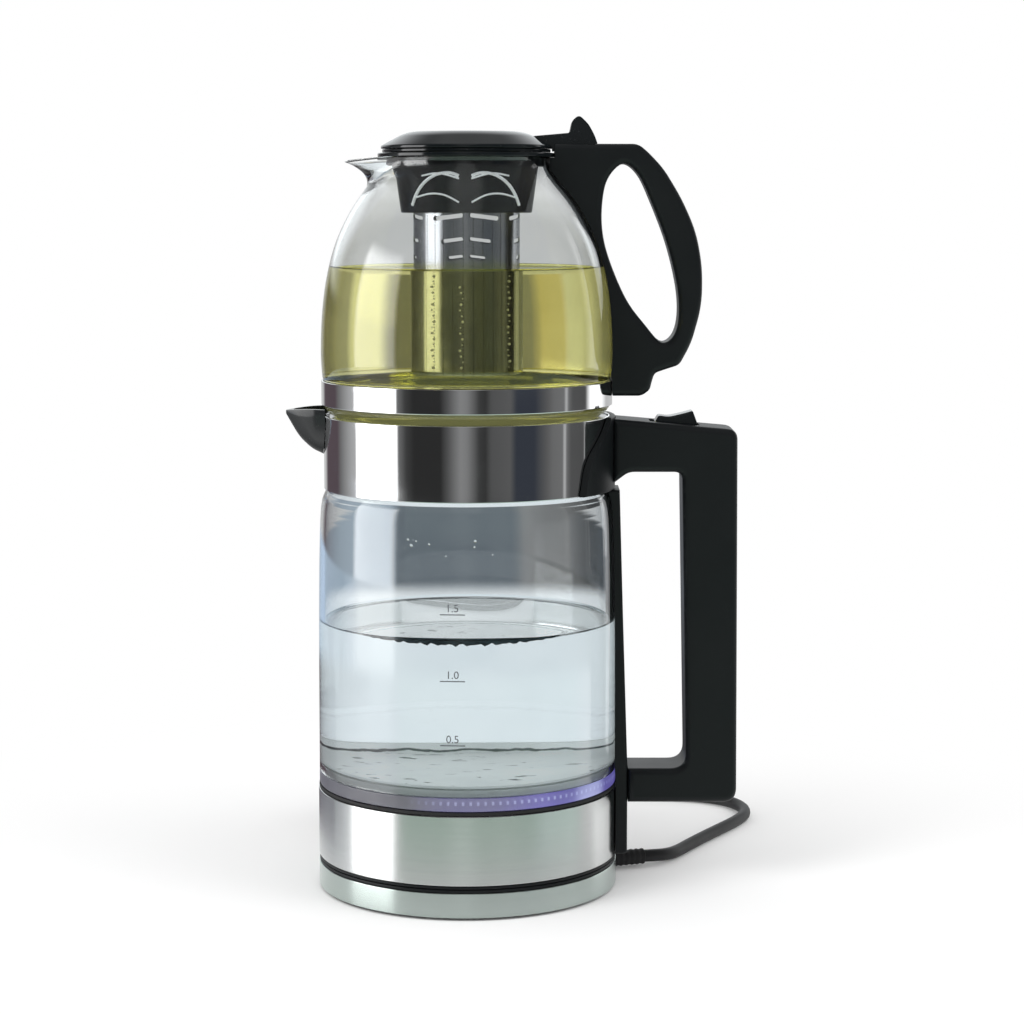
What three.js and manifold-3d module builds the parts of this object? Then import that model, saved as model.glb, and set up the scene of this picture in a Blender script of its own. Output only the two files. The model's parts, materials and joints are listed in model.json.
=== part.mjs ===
// A double tea maker: a glass teapot with an infuser, kept warm on a glass electric kettle
// that stands on a cordless power base. Millimetres, +Z up. The origin is on the kettle's
// axis at the floor, +X points to the handles and -X to the spouts.
import * as THREE from "three";
import { mergeVertices, toCreasedNormals } from "three/addons/utils/BufferGeometryUtils.js";
import Module from "manifold-3d";

const wasm = await Module();
wasm.setup();

// Sizes shared by many pieces
const clearance = 0.3; // between pieces that touch
const running = 0.6; // round pieces that move past each other
const overrun = 6; // how far a cut runs past what it cuts
const sheet = 0.8; // steel sheet
const wall = 2; // moulded walls
const rim = 1.4; // black rims that show between the steel bands
const bodyRadius = 75; // steel bands of the kettle and its base
const roundSteps = 32; // facets of the large round pieces
const fineSteps = 24; // facets of middling round pieces
const smallSteps = 16; // facets of small round pieces
const boreSteps = 8; // facets of bores, screws and pins
const creaseAngle = 0.6;

// Heights of the stack, from the floor up
const footHeight = 1.2;
const baseBandHeight = 12;
const skirtHeight = 33.8;
const deckThickness = 1.8;
const ledHeight = 6.5;
const glassHeight = 146.8;
const collarHeight = 36.4;
const collarOverlap = 5.8; // how far the collar covers the neck of the kettle's glass

const bandBottom = footHeight + clearance;
const bandTop = bandBottom + baseBandHeight;
const baseTop = bandTop + clearance + rim;
const kettleBottom = baseTop + clearance;
const skirtBottom = kettleBottom + rim + clearance;
const skirtTop = skirtBottom + skirtHeight;
const deckBottom = skirtTop + clearance;
const deckTop = deckBottom + deckThickness;
const ledBottom = deckTop + clearance;
const ledTop = ledBottom + ledHeight;
const glassBottom = ledTop + clearance;
const glassTop = glassBottom + glassHeight;
const collarBottom = glassTop - collarOverlap;
const collarTop = collarBottom + collarHeight;

// Radii that several pieces share
const rimWallRadius = bodyRadius - sheet - clearance; // walls inside the steel bands
const rimLipRadius = bodyRadius - clearance;
const collarInset = 4; // how far the collar stands in from the steel below
const collarRadius = bodyRadius - collarInset;
const linerRadius = collarRadius - sheet - clearance;

// Finishes
const steel = { color: 0xc9ccca, roughness: 0.28, metalness: 1 };
const polished = { color: 0xd6d8d8, roughness: 0.08, metalness: 1 };
const black = { color: 0x14171a, roughness: 0.32, metalness: 0 };
const matt = { color: 0x1d1f21, roughness: 0.6, metalness: 0 };
const rubber = { color: 0x0d0d0d, roughness: 0.85, metalness: 0 };
const silicone = { color: 0xdfe4e4, roughness: 0.5, metalness: 0 };
const glass = { color: 0xe4eff0, roughness: 0.03, metalness: 0, transparent: true, opacity: 0.35 };
const violet = { color: 0x8f8fe8, roughness: 0.3, metalness: 0, transparent: true, opacity: 0.8 };
const brass = { color: 0xb89a4c, roughness: 0.35, metalness: 1 };
const aluminium = { color: 0xa8acb0, roughness: 0.45, metalness: 1 };
const board = { color: 0xe8e8e0, roughness: 0.6, metalness: 0 };

const teaMaker = new THREE.Group();

// Adds one piece to its assembly.
function piece(group, name, geometry, finish) {
  const material = new THREE.MeshStandardMaterial(finish);
  const mesh = new THREE.Mesh(toCreasedNormals(geometry, creaseAngle), material);
  mesh.name = name;
  group.add(mesh);
  return mesh;
}

// Six times the volume that the faces close in, negative where they point inwards.
function signedVolume(position, index) {
  const [a, b, c] = [new THREE.Vector3(), new THREE.Vector3(), new THREE.Vector3()];
  let volume = 0;
  for (let i = 0; i < index.length; i += 3) {
    a.fromBufferAttribute(position, index[i]);
    b.fromBufferAttribute(position, index[i + 1]);
    c.fromBufferAttribute(position, index[i + 2]);
    volume += a.dot(b.cross(c));
  }
  return volume;
}

// A closed body with shared corners, no empty faces and its faces pointing out.
function closed(geometry) {
  const bare = geometry.clone();
  bare.deleteAttribute("normal");
  bare.deleteAttribute("uv");
  const merged = mergeVertices(bare);
  const all = merged.index.array;
  const index = [];
  for (let i = 0; i < all.length; i += 3) {
    const [a, b, c] = [all[i], all[i + 1], all[i + 2]];
    if (a !== b && b !== c && c !== a) index.push(a, b, c);
  }
  const position = merged.getAttribute("position");
  if (signedVolume(position, index) < 0) index.reverse();
  return new THREE.BufferGeometry().setAttribute("position", position).setIndex(index);
}

// Boolean sums are done on solids and come back as a geometry.
function solidOf(geometry) {
  const body = closed(geometry);
  const numProp = 3;
  const vertProperties = new Float32Array(body.getAttribute("position").array);
  const triVerts = new Uint32Array(body.index.array);
  return new wasm.Manifold(new wasm.Mesh({ numProp, vertProperties, triVerts }));
}

function geometryOf(solid) {
  const mesh = solid.getMesh();
  const position = new THREE.BufferAttribute(new Float32Array(mesh.vertProperties), mesh.numProp);
  return new THREE.BufferGeometry().setAttribute("position", position).setIndex([...mesh.triVerts]);
}

function join(...geometries) {
  return geometryOf(geometries.map(solidOf).reduce((sum, next) => sum.add(next)));
}

function cut(geometry, ...tools) {
  return geometryOf(tools.map(solidOf).reduce((rest, tool) => rest.subtract(tool), solidOf(geometry)));
}

function common(geometry, tool) {
  return geometryOf(solidOf(geometry).intersect(solidOf(tool)));
}

// A body turned about the Z axis from [radius, height] points. A profile that doesn't
// start and end on the axis is closed on itself.
function turned(profile, steps = roundSteps) {
  const points = profile.map(([radius, height]) => new THREE.Vector2(radius, height));
  const onAxis = points[0].x === 0 && points[points.length - 1].x === 0;
  if (!onAxis) points.push(points[0].clone());
  return closed(new THREE.LatheGeometry(points, steps).rotateX(Math.PI / 2));
}

// A round tube, ring or collar of one wall.
function ring(inner, outer, low, high, steps = roundSteps) {
  return turned([[inner, low], [outer, low], [outer, high], [inner, high]], steps);
}

function disc(radius, low, high, steps = roundSteps) {
  return turned([[0, low], [radius, low], [radius, high], [0, high]], steps);
}

function block([x, y, z], [width, depth, height]) {
  return new THREE.BoxGeometry(width, depth, height).translate(x, y, z);
}

// A round bar between two points.
function bar(from, to, radius, steps = smallSteps, endRadius = radius) {
  const start = new THREE.Vector3(...from);
  const along = new THREE.Vector3(...to).sub(start);
  const shape = new THREE.CylinderGeometry(endRadius, radius, along.length(), steps);
  shape.translate(0, along.length() / 2, 0);
  const up = new THREE.Vector3(0, 1, 0);
  const turn = new THREE.Quaternion().setFromUnitVectors(up, along.clone().normalize());
  return closed(shape.applyQuaternion(turn).translate(...start));
}

// An outline through corners [x, y, radius], each rounded by its radius.
function outline(corners) {
  const path = new THREE.Shape();
  corners.forEach(([x, y, radius = 0], i) => {
    const corner = new THREE.Vector2(x, y);
    const [px, py] = corners.at(i - 1);
    const [nx, ny] = corners[(i + 1) % corners.length];
    const before = corner.clone().add(new THREE.Vector2(px - x, py - y).setLength(radius));
    const after = corner.clone().add(new THREE.Vector2(nx - x, ny - y).setLength(radius));
    if (i === 0) path.moveTo(before.x, before.y);
    else path.lineTo(before.x, before.y);
    if (radius > 0) path.quadraticCurveTo(x, y, after.x, after.y);
  });
  path.closePath();
  return path;
}

// A plate with its outline in the XZ plane, centred on y = 0, with rounded edges.
function plate(shape, width, edge = 0, curveSegments = 4, bevelSegments = 2) {
  const settings = { depth: width - 2 * edge, curveSegments, steps: 1, bevelEnabled: edge > 0 };
  Object.assign(settings, { bevelThickness: edge, bevelSize: edge, bevelOffset: -edge, bevelSegments });
  const body = new THREE.ExtrudeGeometry(shape, settings);
  return closed(body.translate(0, 0, edge - width / 2).rotateX(Math.PI / 2));
}

// A skin over closed sections with equal counts of points, with flat ends.
function loft(sections) {
  const count = sections[0].length;
  const position = sections.flat().flatMap((point) => point.toArray());
  const index = [];
  for (let s = 0; s + 1 < sections.length; s++) {
    for (let i = 0; i < count; i++) {
      const [a, b] = [s * count + i, s * count + ((i + 1) % count)];
      index.push(a, b, b + count, a, b + count, a + count);
    }
  }
  const last = (sections.length - 1) * count;
  for (let i = 1; i + 1 < count; i++) index.push(0, i + 1, i, last, last + i, last + i + 1);
  const skin = new THREE.BufferGeometry();
  skin.setAttribute("position", new THREE.Float32BufferAttribute(position, 3)).setIndex(index);
  return closed(skin);
}

// A round tube along a curve.
function tube(curve, radius, steps, sides) {
  const section = new THREE.Shape();
  for (let i = 0; i < sides; i++) {
    const angle = (i / sides) * 2 * Math.PI;
    const [x, y] = [radius * Math.cos(angle), radius * Math.sin(angle)];
    if (i === 0) section.moveTo(x, y);
    else section.lineTo(x, y);
  }
  section.closePath();
  return closed(new THREE.ExtrudeGeometry(section, { steps, extrudePath: curve, bevelEnabled: false }));
}

const polar = (radius, angle, z) => [radius * Math.cos(angle), radius * Math.sin(angle), z];
const radians = (degrees) => (degrees * Math.PI) / 180;
const along = (from, to, share) => from + (to - from) * share;

// The 360 degree plug connector between base and kettle, radii from the centre out
const post = { radius: 16.5, rise: 10.8, foot: 20, footHeight: 2.7, chamfer: 1.3, grooveDepth: 14 };
const grooves = { outer: [11.4, 13.6], inner: [5, 9.8], pin: 3.2 };
const contactHeight = 1.6;
const socket = { wall: 2.4, headroom: 2, flange: 24, flangeHeight: 2, roof: 3 };
const socketTubes = { outer: 1, inner: 2 };
const postTop = baseTop + post.rise;
const grooveFloor = postTop - post.grooveDepth;
const socketTop = postTop + socket.headroom + socket.roof;

// Power base
const base = { hub: 22, dish: 0.8, dishEdge: 4, coverThickness: 2.4 };
const feet = { count: 4, radius: 6, inset: 11.9 };
const screw = { shank: 1.5, head: 2.8, headHeight: 1.6, count: 3 };
const baseScrew = { place: 36, length: 8, boss: 4 };
const cord = { diameter: 6.8, angle: 18, height: 5.2, relief: 20, reliefRadius: 4.4 };
const clamp = { width: 14, thickness: 2, height: 5.6, setback: 1.6 };
const terminal = { width: 16, depth: 12, height: 6, inset: 27.9 };
const plateFloor = wall;
const plateTop = bandTop - rim + clearance;
const coverBottom = plateTop + clearance;

const baseGroup = new THREE.Group();
teaMaker.add(baseGroup);

const cordAngle = radians(cord.angle);
const cordAt = (radius) => polar(radius, cordAngle, cord.height);

function makeBasePlate() {
  const floorTop = bandBottom + plateFloor;
  const dish = turned([
    [0, 0],
    [base.hub, 0],
    [base.hub + bandBottom, bandBottom],
    [rimWallRadius, bandBottom],
    [rimWallRadius, plateTop],
    [rimWallRadius - wall, plateTop],
    [rimWallRadius - wall, floorTop],
    [0, floorTop],
  ]);
  const bosses = [];
  const bores = [];
  for (let i = 0; i < screw.count; i++) {
    const angle = ((i + 1 / 2) / screw.count) * 2 * Math.PI;
    const bossTop = coverBottom - clearance;
    const headTop = bandBottom + screw.headHeight + clearance;
    const at = (z) => polar(baseScrew.place, angle, z);
    bosses.push(bar(at(bandBottom), at(bossTop), baseScrew.boss, boreSteps));
    bores.push(bar(at(-overrun), at(bossTop + overrun), screw.shank + clearance, boreSteps));
    bores.push(bar(at(-overrun), at(headTop), screw.head + clearance, boreSteps));
  }
  return cut(join(dish, ...bosses), ...cordNotch(rimWallRadius - wall), ...bores);
}

// The cord leaves through a slot that is open at the lower edge of the base.
function cordNotch(radius) {
  const [inner, outer] = [radius - overrun, radius + overrun];
  const gap = cord.reliefRadius + clearance;
  const mouth = block([(inner + outer) / 2, 0, (cord.height - overrun) / 2],
    [outer - inner, 2 * gap, cord.height + overrun]).rotateZ(cordAngle);
  return [mouth, bar(cordAt(inner), cordAt(outer), gap)];
}

function makeConnectorPost() {
  const low = bandBottom + plateFloor + clearance;
  const { radius, foot, chamfer } = post;
  return turned([
    [0, low],
    [foot, low],
    [foot, low + post.footHeight],
    [radius, low + post.footHeight],
    [radius, postTop - chamfer],
    [radius - chamfer, postTop],
    [grooves.outer[1], postTop],
    [grooves.outer[1], grooveFloor],
    [grooves.outer[0], grooveFloor],
    [grooves.outer[0], postTop],
    [grooves.inner[1], postTop],
    [grooves.inner[1], grooveFloor],
    [grooves.inner[0], grooveFloor],
    [grooves.inner[0], postTop],
    [grooves.pin, postTop],
    [grooves.pin, grooveFloor],
    [0, grooveFloor],
  ], smallSteps);
}

piece(baseGroup, "base_plate", makeBasePlate(), matt);

piece(baseGroup, "base_band",
  cut(ring(bodyRadius - sheet, bodyRadius, bandBottom, bandTop), ...cordNotch(bodyRadius)), steel);

piece(baseGroup, "base_cover", turned([
  [post.radius + clearance, coverBottom],
  [rimWallRadius, coverBottom],
  [rimWallRadius, bandTop + clearance],
  [rimLipRadius, bandTop + clearance],
  [rimLipRadius, baseTop],
  [rimWallRadius - base.dishEdge, baseTop],
  [rimWallRadius - base.dishEdge - base.dish, baseTop - base.dish],
  [socket.flange + base.dish, baseTop - base.dish],
  [socket.flange, baseTop],
  [post.radius + clearance, baseTop],
]), matt);

piece(baseGroup, "connector_post", makeConnectorPost(), matt);
for (const [name, [inner, outer]] of [["outer", grooves.outer], ["inner", grooves.inner]]) {
  const low = grooveFloor + clearance;
  piece(baseGroup, "contact_ring_" + name,
    ring(inner + clearance, outer - clearance, low, low + contactHeight, smallSteps), brass);
}

for (let i = 0; i < feet.count; i++) {
  const angle = ((i + 1 / 2) / feet.count) * 2 * Math.PI;
  const place = rimWallRadius - feet.inset;
  const foot = bar(polar(place, angle, 0), polar(place, angle, footHeight), feet.radius);
  piece(baseGroup, "rubber_foot_" + (i + 1), foot, rubber);
}

// A pan head screw pointing up, with its head at the low end.
function makeScrew(low, length) {
  const { head, headHeight, shank } = screw;
  return turned([[0, low], [head, low], [head, low + headHeight], [shank, low + headHeight],
    [shank, low + length], [0, low + length]], boreSteps);
}

for (let i = 0; i < screw.count; i++) {
  const angle = ((i + 1 / 2) / screw.count) * 2 * Math.PI;
  const [x, y] = polar(baseScrew.place, angle, 0);
  const body = makeScrew(bandBottom, baseScrew.length).translate(x, y, 0);
  piece(baseGroup, "base_screw_" + (i + 1), body, aluminium);
}

// The cord's clamp stands inside the rim wall and its sleeve tapers outside.
function makeCordRelief() {
  const inside = rimWallRadius - wall - clamp.setback;
  const sleeve = bar(cordAt(inside - clamp.thickness), cordAt(bodyRadius + cord.relief), cord.reliefRadius,
    smallSteps, cord.diameter / 2 + sheet);
  const low = bandBottom + plateFloor + clearance;
  const plateBody = block([inside - clamp.thickness / 2, 0, low + clamp.height / 2],
    [clamp.thickness, clamp.width, clamp.height]).rotateZ(cordAngle);
  const floor = disc(inside, -overrun, low);
  return cut(join(sleeve, plateBody), floor);
}
piece(baseGroup, "cord_relief", makeCordRelief(), rubber);

const terminalLow = bandBottom + plateFloor + clearance;
const terminalBody = block([rimWallRadius - terminal.inset, 0, terminalLow + terminal.height / 2],
  [terminal.width, terminal.depth, terminal.height]).rotateZ(cordAngle);
piece(baseGroup, "terminal_block", closed(terminalBody), board);

// Mains cord: it lies along the floor to a coil behind the base and ends in its plug.
// The route's points are places of the cord's middle.
const cordRadius = cord.diameter / 2;
const cordRoute = [
  [90.9, 29.5, 5.2], [95.6, 31.1, 5.1], [101.2, 34.6, 4.6], [106.2, 40.6, 4], [110.6, 49, 3.5],
  [117.1, 61.5, 3.4], [125, 76, 3.4], [135.5, 94, 3.4], [145.6, 112, 3.4], [151.6, 127, 3.4],
  [152.2, 142.5, 3.4], [146, 157.5, 3.4], [134, 167.6, 3.4], [117, 173.6, 3.4], [96, 177.6, 3.4],
  [74, 182.2, 3.5], [52, 186.4, 3.9], [35, 188.3, 4.2], [27.1, 188.5, 4.2]];
const tailRoute = [
  [12.9, 184.85, 11.5], [2, 185, 11.6], [-10, 185.4, 12.2], [-22, 185.2, 13.4], [-33, 182.6, 15],
  [-41.8, 177, 16.6], [-47.4, 168.8, 18], [-49.8, 161, 18.6], [-50, 158.3, 18.6]];
const coil = {
  x: 20, y: 150, z: 4.2, radius: 38.5, pitch: 7.3, turns: 2, start: 90, reversal: 1.25, loopSteps: 24,
  sides: 6,
};

// The coil spirals in, climbs a layer in the half turn where it reverses, and spirals out.
function coilPoint(turn) {
  const angle = radians(coil.start) + turn * 2 * Math.PI;
  const inward = Math.min(turn, coil.reversal);
  const outward = Math.max(turn - coil.reversal, 0);
  const radius = coil.radius - coil.pitch * (inward - outward);
  const climb = THREE.MathUtils.smoothstep(turn, coil.reversal - 1 / 4, coil.reversal + 1 / 4);
  const [x, y] = polar(radius, angle, 0);
  return new THREE.Vector3(coil.x + x, coil.y + y, coil.z + climb * coil.pitch);
}

function coilPath() {
  const count = coil.turns * coil.loopSteps;
  const points = Array.from({ length: count + 1 }, (_, i) => coilPoint(i / coil.loopSteps));
  const lead = new THREE.Vector3(cord.diameter, 0, 0);
  return [points[0].clone().add(lead), ...points, points[count].clone().sub(lead)];
}

function makeCoil() {
  const path = coilPath();
  const up = new THREE.Vector3(0, 0, 1);
  const sections = path.map((point, i) => {
    const ends = i === 0 || i === path.length - 1;
    const next = path[Math.min(i + 1, path.length - 1)];
    const tangent = ends ? new THREE.Vector3(-1, 0, 0) : next.clone().sub(path[i - 1]).normalize();
    const side = up.clone().cross(tangent).normalize();
    const raise = tangent.clone().cross(side);
    return Array.from({ length: coil.sides }, (_, k) => {
      const angle = (k / coil.sides) * 2 * Math.PI;
      return point.clone().addScaledVector(side, cordRadius * Math.cos(angle))
        .addScaledVector(raise, cordRadius * Math.sin(angle));
    });
  });
  return loft(sections);
}

// The least gap between the turns, measured on points of the tube's middle line.
function leastCoilGap() {
  const samples = coil.turns * 4 * coil.loopSteps;
  const apart = 2 * coil.loopSteps;
  const points = Array.from({ length: samples + 1 }, (_, i) => coilPoint((i / samples) * coil.turns));
  let least = Infinity;
  for (let i = 0; i < points.length; i++) {
    for (let j = i + apart; j < points.length; j++) least = Math.min(least, points[i].distanceTo(points[j]));
  }
  return least - cord.diameter;
}
console.log("least gap between the coil's turns: " + leastCoilGap().toFixed(2) + " mm");

function makeCordRun(route, steps) {
  const points = route.map((point) => new THREE.Vector3(...point));
  const curve = new THREE.CatmullRomCurve3(points, false, "centripetal");
  console.log("length of the cord's run: " + curve.getLength().toFixed(0) + " mm");
  return tube(curve, cordRadius, steps, 8);
}
piece(baseGroup, "mains_cord", makeCordRun(cordRoute, 20), rubber);
piece(baseGroup, "cord_coil", makeCoil(), rubber);
piece(baseGroup, "cord_tail", makeCordRun(tailRoute, 7), rubber);

// A strap round the two layers of the coil, on the side towards the handle
const tie = { thickness: 0.5, width: 7, gap: 1 };
function makeTie() {
  const radius = coil.radius - coil.pitch * 3 / 4;
  const half = cordRadius + tie.gap;
  const [low, high] = [coil.z - cordRadius - clearance, coil.z + coil.pitch + half];
  const [x, y] = [coil.x + radius, coil.y];
  const outside = block([x, y, (low + high) / 2],
    [2 * (half + tie.thickness), tie.width, high - low + 2 * tie.thickness]);
  return cut(outside, block([x, y, (low + high) / 2], [2 * half, 2 * tie.width, high - low]));
}
piece(baseGroup, "cord_tie", makeTie(), matt);

// Round earthed plug, lying on its side with its pins towards the front
const plug = {
  x: -50, y: 158, radius: 18.6, neck: 5.6, neckLength: 14, taper: 16, body: 20, pin: 2.4, pinLength: 19,
  pinPlace: 9.5,
};
const plugLength = plug.neckLength + plug.taper + plug.body;

function makePlug() {
  const body = turned([
    [0, 0],
    [plug.neck, 0],
    [plug.neck, plug.neckLength],
    [plug.radius, plug.neckLength + plug.taper],
    [plug.radius, plugLength],
    [0, plugLength],
  ], smallSteps);
  return body.rotateX(Math.PI / 2).translate(plug.x, plug.y, plug.radius);
}
piece(baseGroup, "mains_plug", makePlug(), rubber);
const plugFace = plug.y - plugLength - clearance;
for (const side of [-1, 1]) {
  const x = plug.x + side * plug.pinPlace;
  const pinEnd = plugFace - plug.pinLength;
  const pin = bar([x, plugFace, plug.radius], [x, pinEnd, plug.radius], plug.pin, boreSteps);
  piece(baseGroup, side < 0 ? "plug_pin_1" : "plug_pin_2", pin, brass);
}

// Kettle: foot, skirt and heater
const deck = { width: 9, boardWidth: 8, boardThickness: 1 };
const heater = {
  plate: 1.2, plateRise: 6, spreaderInset: 19.6, spreaderThickness: 2.1, tube: 3.6, loopInset: 10,
  openAngle: 36,
};
const elementLead = { height: 9, radius: 2 };
const control = { width: 46, depth: 36, height: 8.4, disc: 14 };
const seal = { width: 3.7, lip: 3.6 };
const bottomWall = 9; // height of the foot's wall inside the skirt
const kettleFloorTop = kettleBottom + rim + sheet;
const kettleWallTop = skirtBottom + bottomWall;
const glassWall = 2.6;
const glassInset = 0.5; // how far the glass stands in from the steel below
const glassFootRadius = bodyRadius - glassInset;
const deckInner = bodyRadius - deck.width;
const sealInner = glassFootRadius - glassWall - clearance - seal.width;
const plateRadius = sealInner - clearance;
const spreaderRadius = plateRadius - heater.spreaderInset;
const loopRadius = spreaderRadius - heater.loopInset;

const kettleGroup = new THREE.Group();
teaMaker.add(kettleGroup);

const strapScrew = { rise: 18.8, length: 5 }; // holds the foot of the handle's strip
const strapScrewZ = skirtBottom + strapScrew.rise;
const skirtHole = bar([bodyRadius - overrun, 0, strapScrewZ], [bodyRadius + overrun, 0, strapScrewZ],
  screw.shank + clearance);
piece(kettleGroup, "kettle_skirt",
  cut(ring(bodyRadius - sheet, bodyRadius, skirtBottom, skirtTop), skirtHole), steel);

const socketRadius = post.radius + running + socket.wall;
piece(kettleGroup, "kettle_bottom", turned([
  [socketRadius + clearance, kettleBottom],
  [rimLipRadius, kettleBottom],
  [rimLipRadius, kettleBottom + rim],
  [rimWallRadius, kettleBottom + rim],
  [rimWallRadius, kettleWallTop],
  [rimWallRadius - wall, kettleWallTop],
  [rimWallRadius - wall, kettleFloorTop],
  [socketRadius + clearance, kettleFloorTop],
]), matt);

function makeSocket() {
  const low = kettleBottom + clearance;
  const roof = socketTop - socket.roof;
  const flangeLow = kettleFloorTop + clearance;
  const outerTube = (grooves.outer[0] + grooves.outer[1]) / 2;
  const innerTube = (grooves.inner[0] + grooves.inner[1]) / 2;
  return turned([
    [grooves.pin - clearance, socketTop],
    [grooves.pin - clearance, roof],
    [innerTube - socketTubes.inner / 2, roof],
    [innerTube - socketTubes.inner / 2, low],
    [innerTube + socketTubes.inner / 2, low],
    [innerTube + socketTubes.inner / 2, roof],
    [outerTube - socketTubes.outer / 2, roof],
    [outerTube - socketTubes.outer / 2, low],
    [outerTube + socketTubes.outer / 2, low],
    [outerTube + socketTubes.outer / 2, roof],
    [post.radius + running, roof],
    [post.radius + running, low],
    [socketRadius, low],
    [socketRadius, flangeLow],
    [socket.flange, flangeLow],
    [socket.flange, flangeLow + socket.flangeHeight],
    [socketRadius, flangeLow + socket.flangeHeight],
    [socketRadius, socketTop],
  ], smallSteps);
}
piece(kettleGroup, "kettle_socket", makeSocket(), matt);
piece(kettleGroup, "earth_pin",
  disc(grooves.pin - 2 * clearance, kettleBottom + clearance, socketTop, smallSteps), brass);

const heaterLow = ledTop - heater.plate - heater.spreaderThickness;
const spreadLow = heaterLow - clearance;
const plateLow = spreadLow + heater.spreaderThickness + clearance;
const plateTopZ = plateLow + heater.plate;
const controlLow = socketTop + clearance;
piece(kettleGroup, "thermostat_control", join(
  closed(block([0, 0, controlLow + control.height / 2], [control.width, control.depth, control.height])),
  disc(control.disc, controlLow + control.height / 2, spreadLow - clearance, smallSteps)), board);

class Loop extends THREE.Curve {
  constructor(radius, open, height) {
    super();
    Object.assign(this, { radius, open, height });
  }
  getPoint(share, target = new THREE.Vector3()) {
    const angle = this.open / 2 + share * (2 * Math.PI - this.open);
    return target.set(...polar(this.radius, angle, this.height));
  }
}

function makeElement() {
  const height = spreadLow - clearance - heater.tube;
  const open = radians(heater.openAngle);
  const loop = tube(new Loop(loopRadius, open, height), heater.tube, smallSteps, 8);
  const inset = heater.tube / loopRadius;
  const leadEnd = height - heater.tube - elementLead.height;
  const leads = [open / 2 + inset, 2 * Math.PI - open / 2 - inset].map((angle) => bar(
    polar(loopRadius, angle, height), polar(loopRadius, angle, leadEnd), elementLead.radius, boreSteps));
  return join(loop, ...leads);
}
piece(kettleGroup, "heating_element", makeElement(), aluminium);
const spreadTop = spreadLow + heater.spreaderThickness;
piece(kettleGroup, "heat_spreader", disc(spreaderRadius, spreadLow, spreadTop), aluminium);

piece(kettleGroup, "heater_plate", turned([
  [0, plateLow],
  [plateRadius, plateLow],
  [plateRadius, plateLow + heater.plateRise],
  [plateRadius - heater.plate, plateLow + heater.plateRise],
  [plateRadius - heater.plate, plateTopZ],
  [0, plateTopZ],
]), polished);

piece(kettleGroup, "skirt_gasket", ring(deckInner, rimLipRadius, deckBottom, deckTop), rubber);
const ledFloorTop = plateLow - clearance - wall / 2;
const boardTop = deckBottom + deck.boardThickness;
piece(kettleGroup, "led_board",
  ring(deckInner - deck.boardWidth, deckInner - clearance, deckBottom, boardTop), board);
piece(kettleGroup, "led_ring", turned([
  [deckInner, ledBottom],
  [glassFootRadius, ledBottom],
  [glassFootRadius, ledTop],
  [glassFootRadius - glassWall, ledTop],
  [glassFootRadius - glassWall, ledFloorTop],
  [deckInner, ledFloorTop],
]), violet);
piece(kettleGroup, "glass_seal",
  ring(sealInner, sealInner + seal.width, ledFloorTop + clearance, glassBottom + seal.lip), silicone);

// Kettle glass: radii as shares of the foot's radius, heights as shares of the visible wall
const neckSeal = 0.7; // between the neck of the glass and the collar
const neckRadius = linerRadius - neckSeal - clearance;
const shoulderRadius = neckRadius + sheet / 2;
const kettleGlassShares = [[1, 0], [0.998, 0.42], [0.991, 0.76], [0.982, 0.905], [0.966, 0.967]];
const kettleGlassPoint = ([radiusShare, heightShare], inset) => [
  glassFootRadius * radiusShare - inset, along(glassBottom, collarBottom - clearance, heightShare)];

function kettleGlassOuter(gap = 0) {
  return kettleGlassShares.map((share) => kettleGlassPoint(share, -gap));
}

function makeKettleGlass() {
  const inner = kettleGlassShares.map((share) => kettleGlassPoint(share, glassWall)).reverse();
  return turned([
    ...kettleGlassOuter(),
    [shoulderRadius, collarBottom - clearance],
    [neckRadius, collarBottom + clearance],
    [neckRadius, glassTop],
    [neckRadius - glassWall, glassTop],
    [neckRadius - glassWall, collarBottom],
    ...inner,
  ]);
}
piece(kettleGroup, "kettle_glass", makeKettleGlass(), glass);
piece(kettleGroup, "collar_seal",
  ring(neckRadius + clearance, linerRadius, collarBottom + 2 * clearance, glassTop), silicone);

// Collar, mouth ring and spout
const mouth = { wall: 2.4, seat: 13.9, seatThickness: 2.7, drop: 0.7 };
const pourWindow = { width: 26, low: 22.5, high: 34 }; // heights above the collar's lower edge
const vent = { count: 6, width: 8, depth: 4 };
const windowTool = block([-collarRadius, 0, collarBottom + (pourWindow.low + pourWindow.high) / 2],
  [4 * overrun, pourWindow.width, pourWindow.high - pourWindow.low]);
const seatTop = collarTop - mouth.drop;
const seatInner = linerRadius - mouth.seat;

piece(kettleGroup, "kettle_collar",
  cut(ring(collarRadius - sheet, collarRadius, collarBottom, collarTop), windowTool), polished);

function makeMouthRing() {
  const low = glassTop + clearance;
  const liner = turned([
    [linerRadius - mouth.wall, low],
    [linerRadius, low],
    [linerRadius, seatTop],
    [seatInner, seatTop],
    [seatInner, seatTop - mouth.seatThickness],
    [linerRadius - mouth.wall, seatTop - mouth.seatThickness],
  ]);
  const vents = [];
  for (let i = 0; i < vent.count; i++) {
    const slot = block([seatInner, 0, seatTop], [2 * vent.depth, vent.width, 2 * overrun]);
    vents.push(slot.rotateZ(((i + 1 / 2) / vent.count) * 2 * Math.PI));
  }
  return cut(liner, windowTool, ...vents);
}
piece(kettleGroup, "mouth_ring", makeMouthRing(), black);

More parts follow.
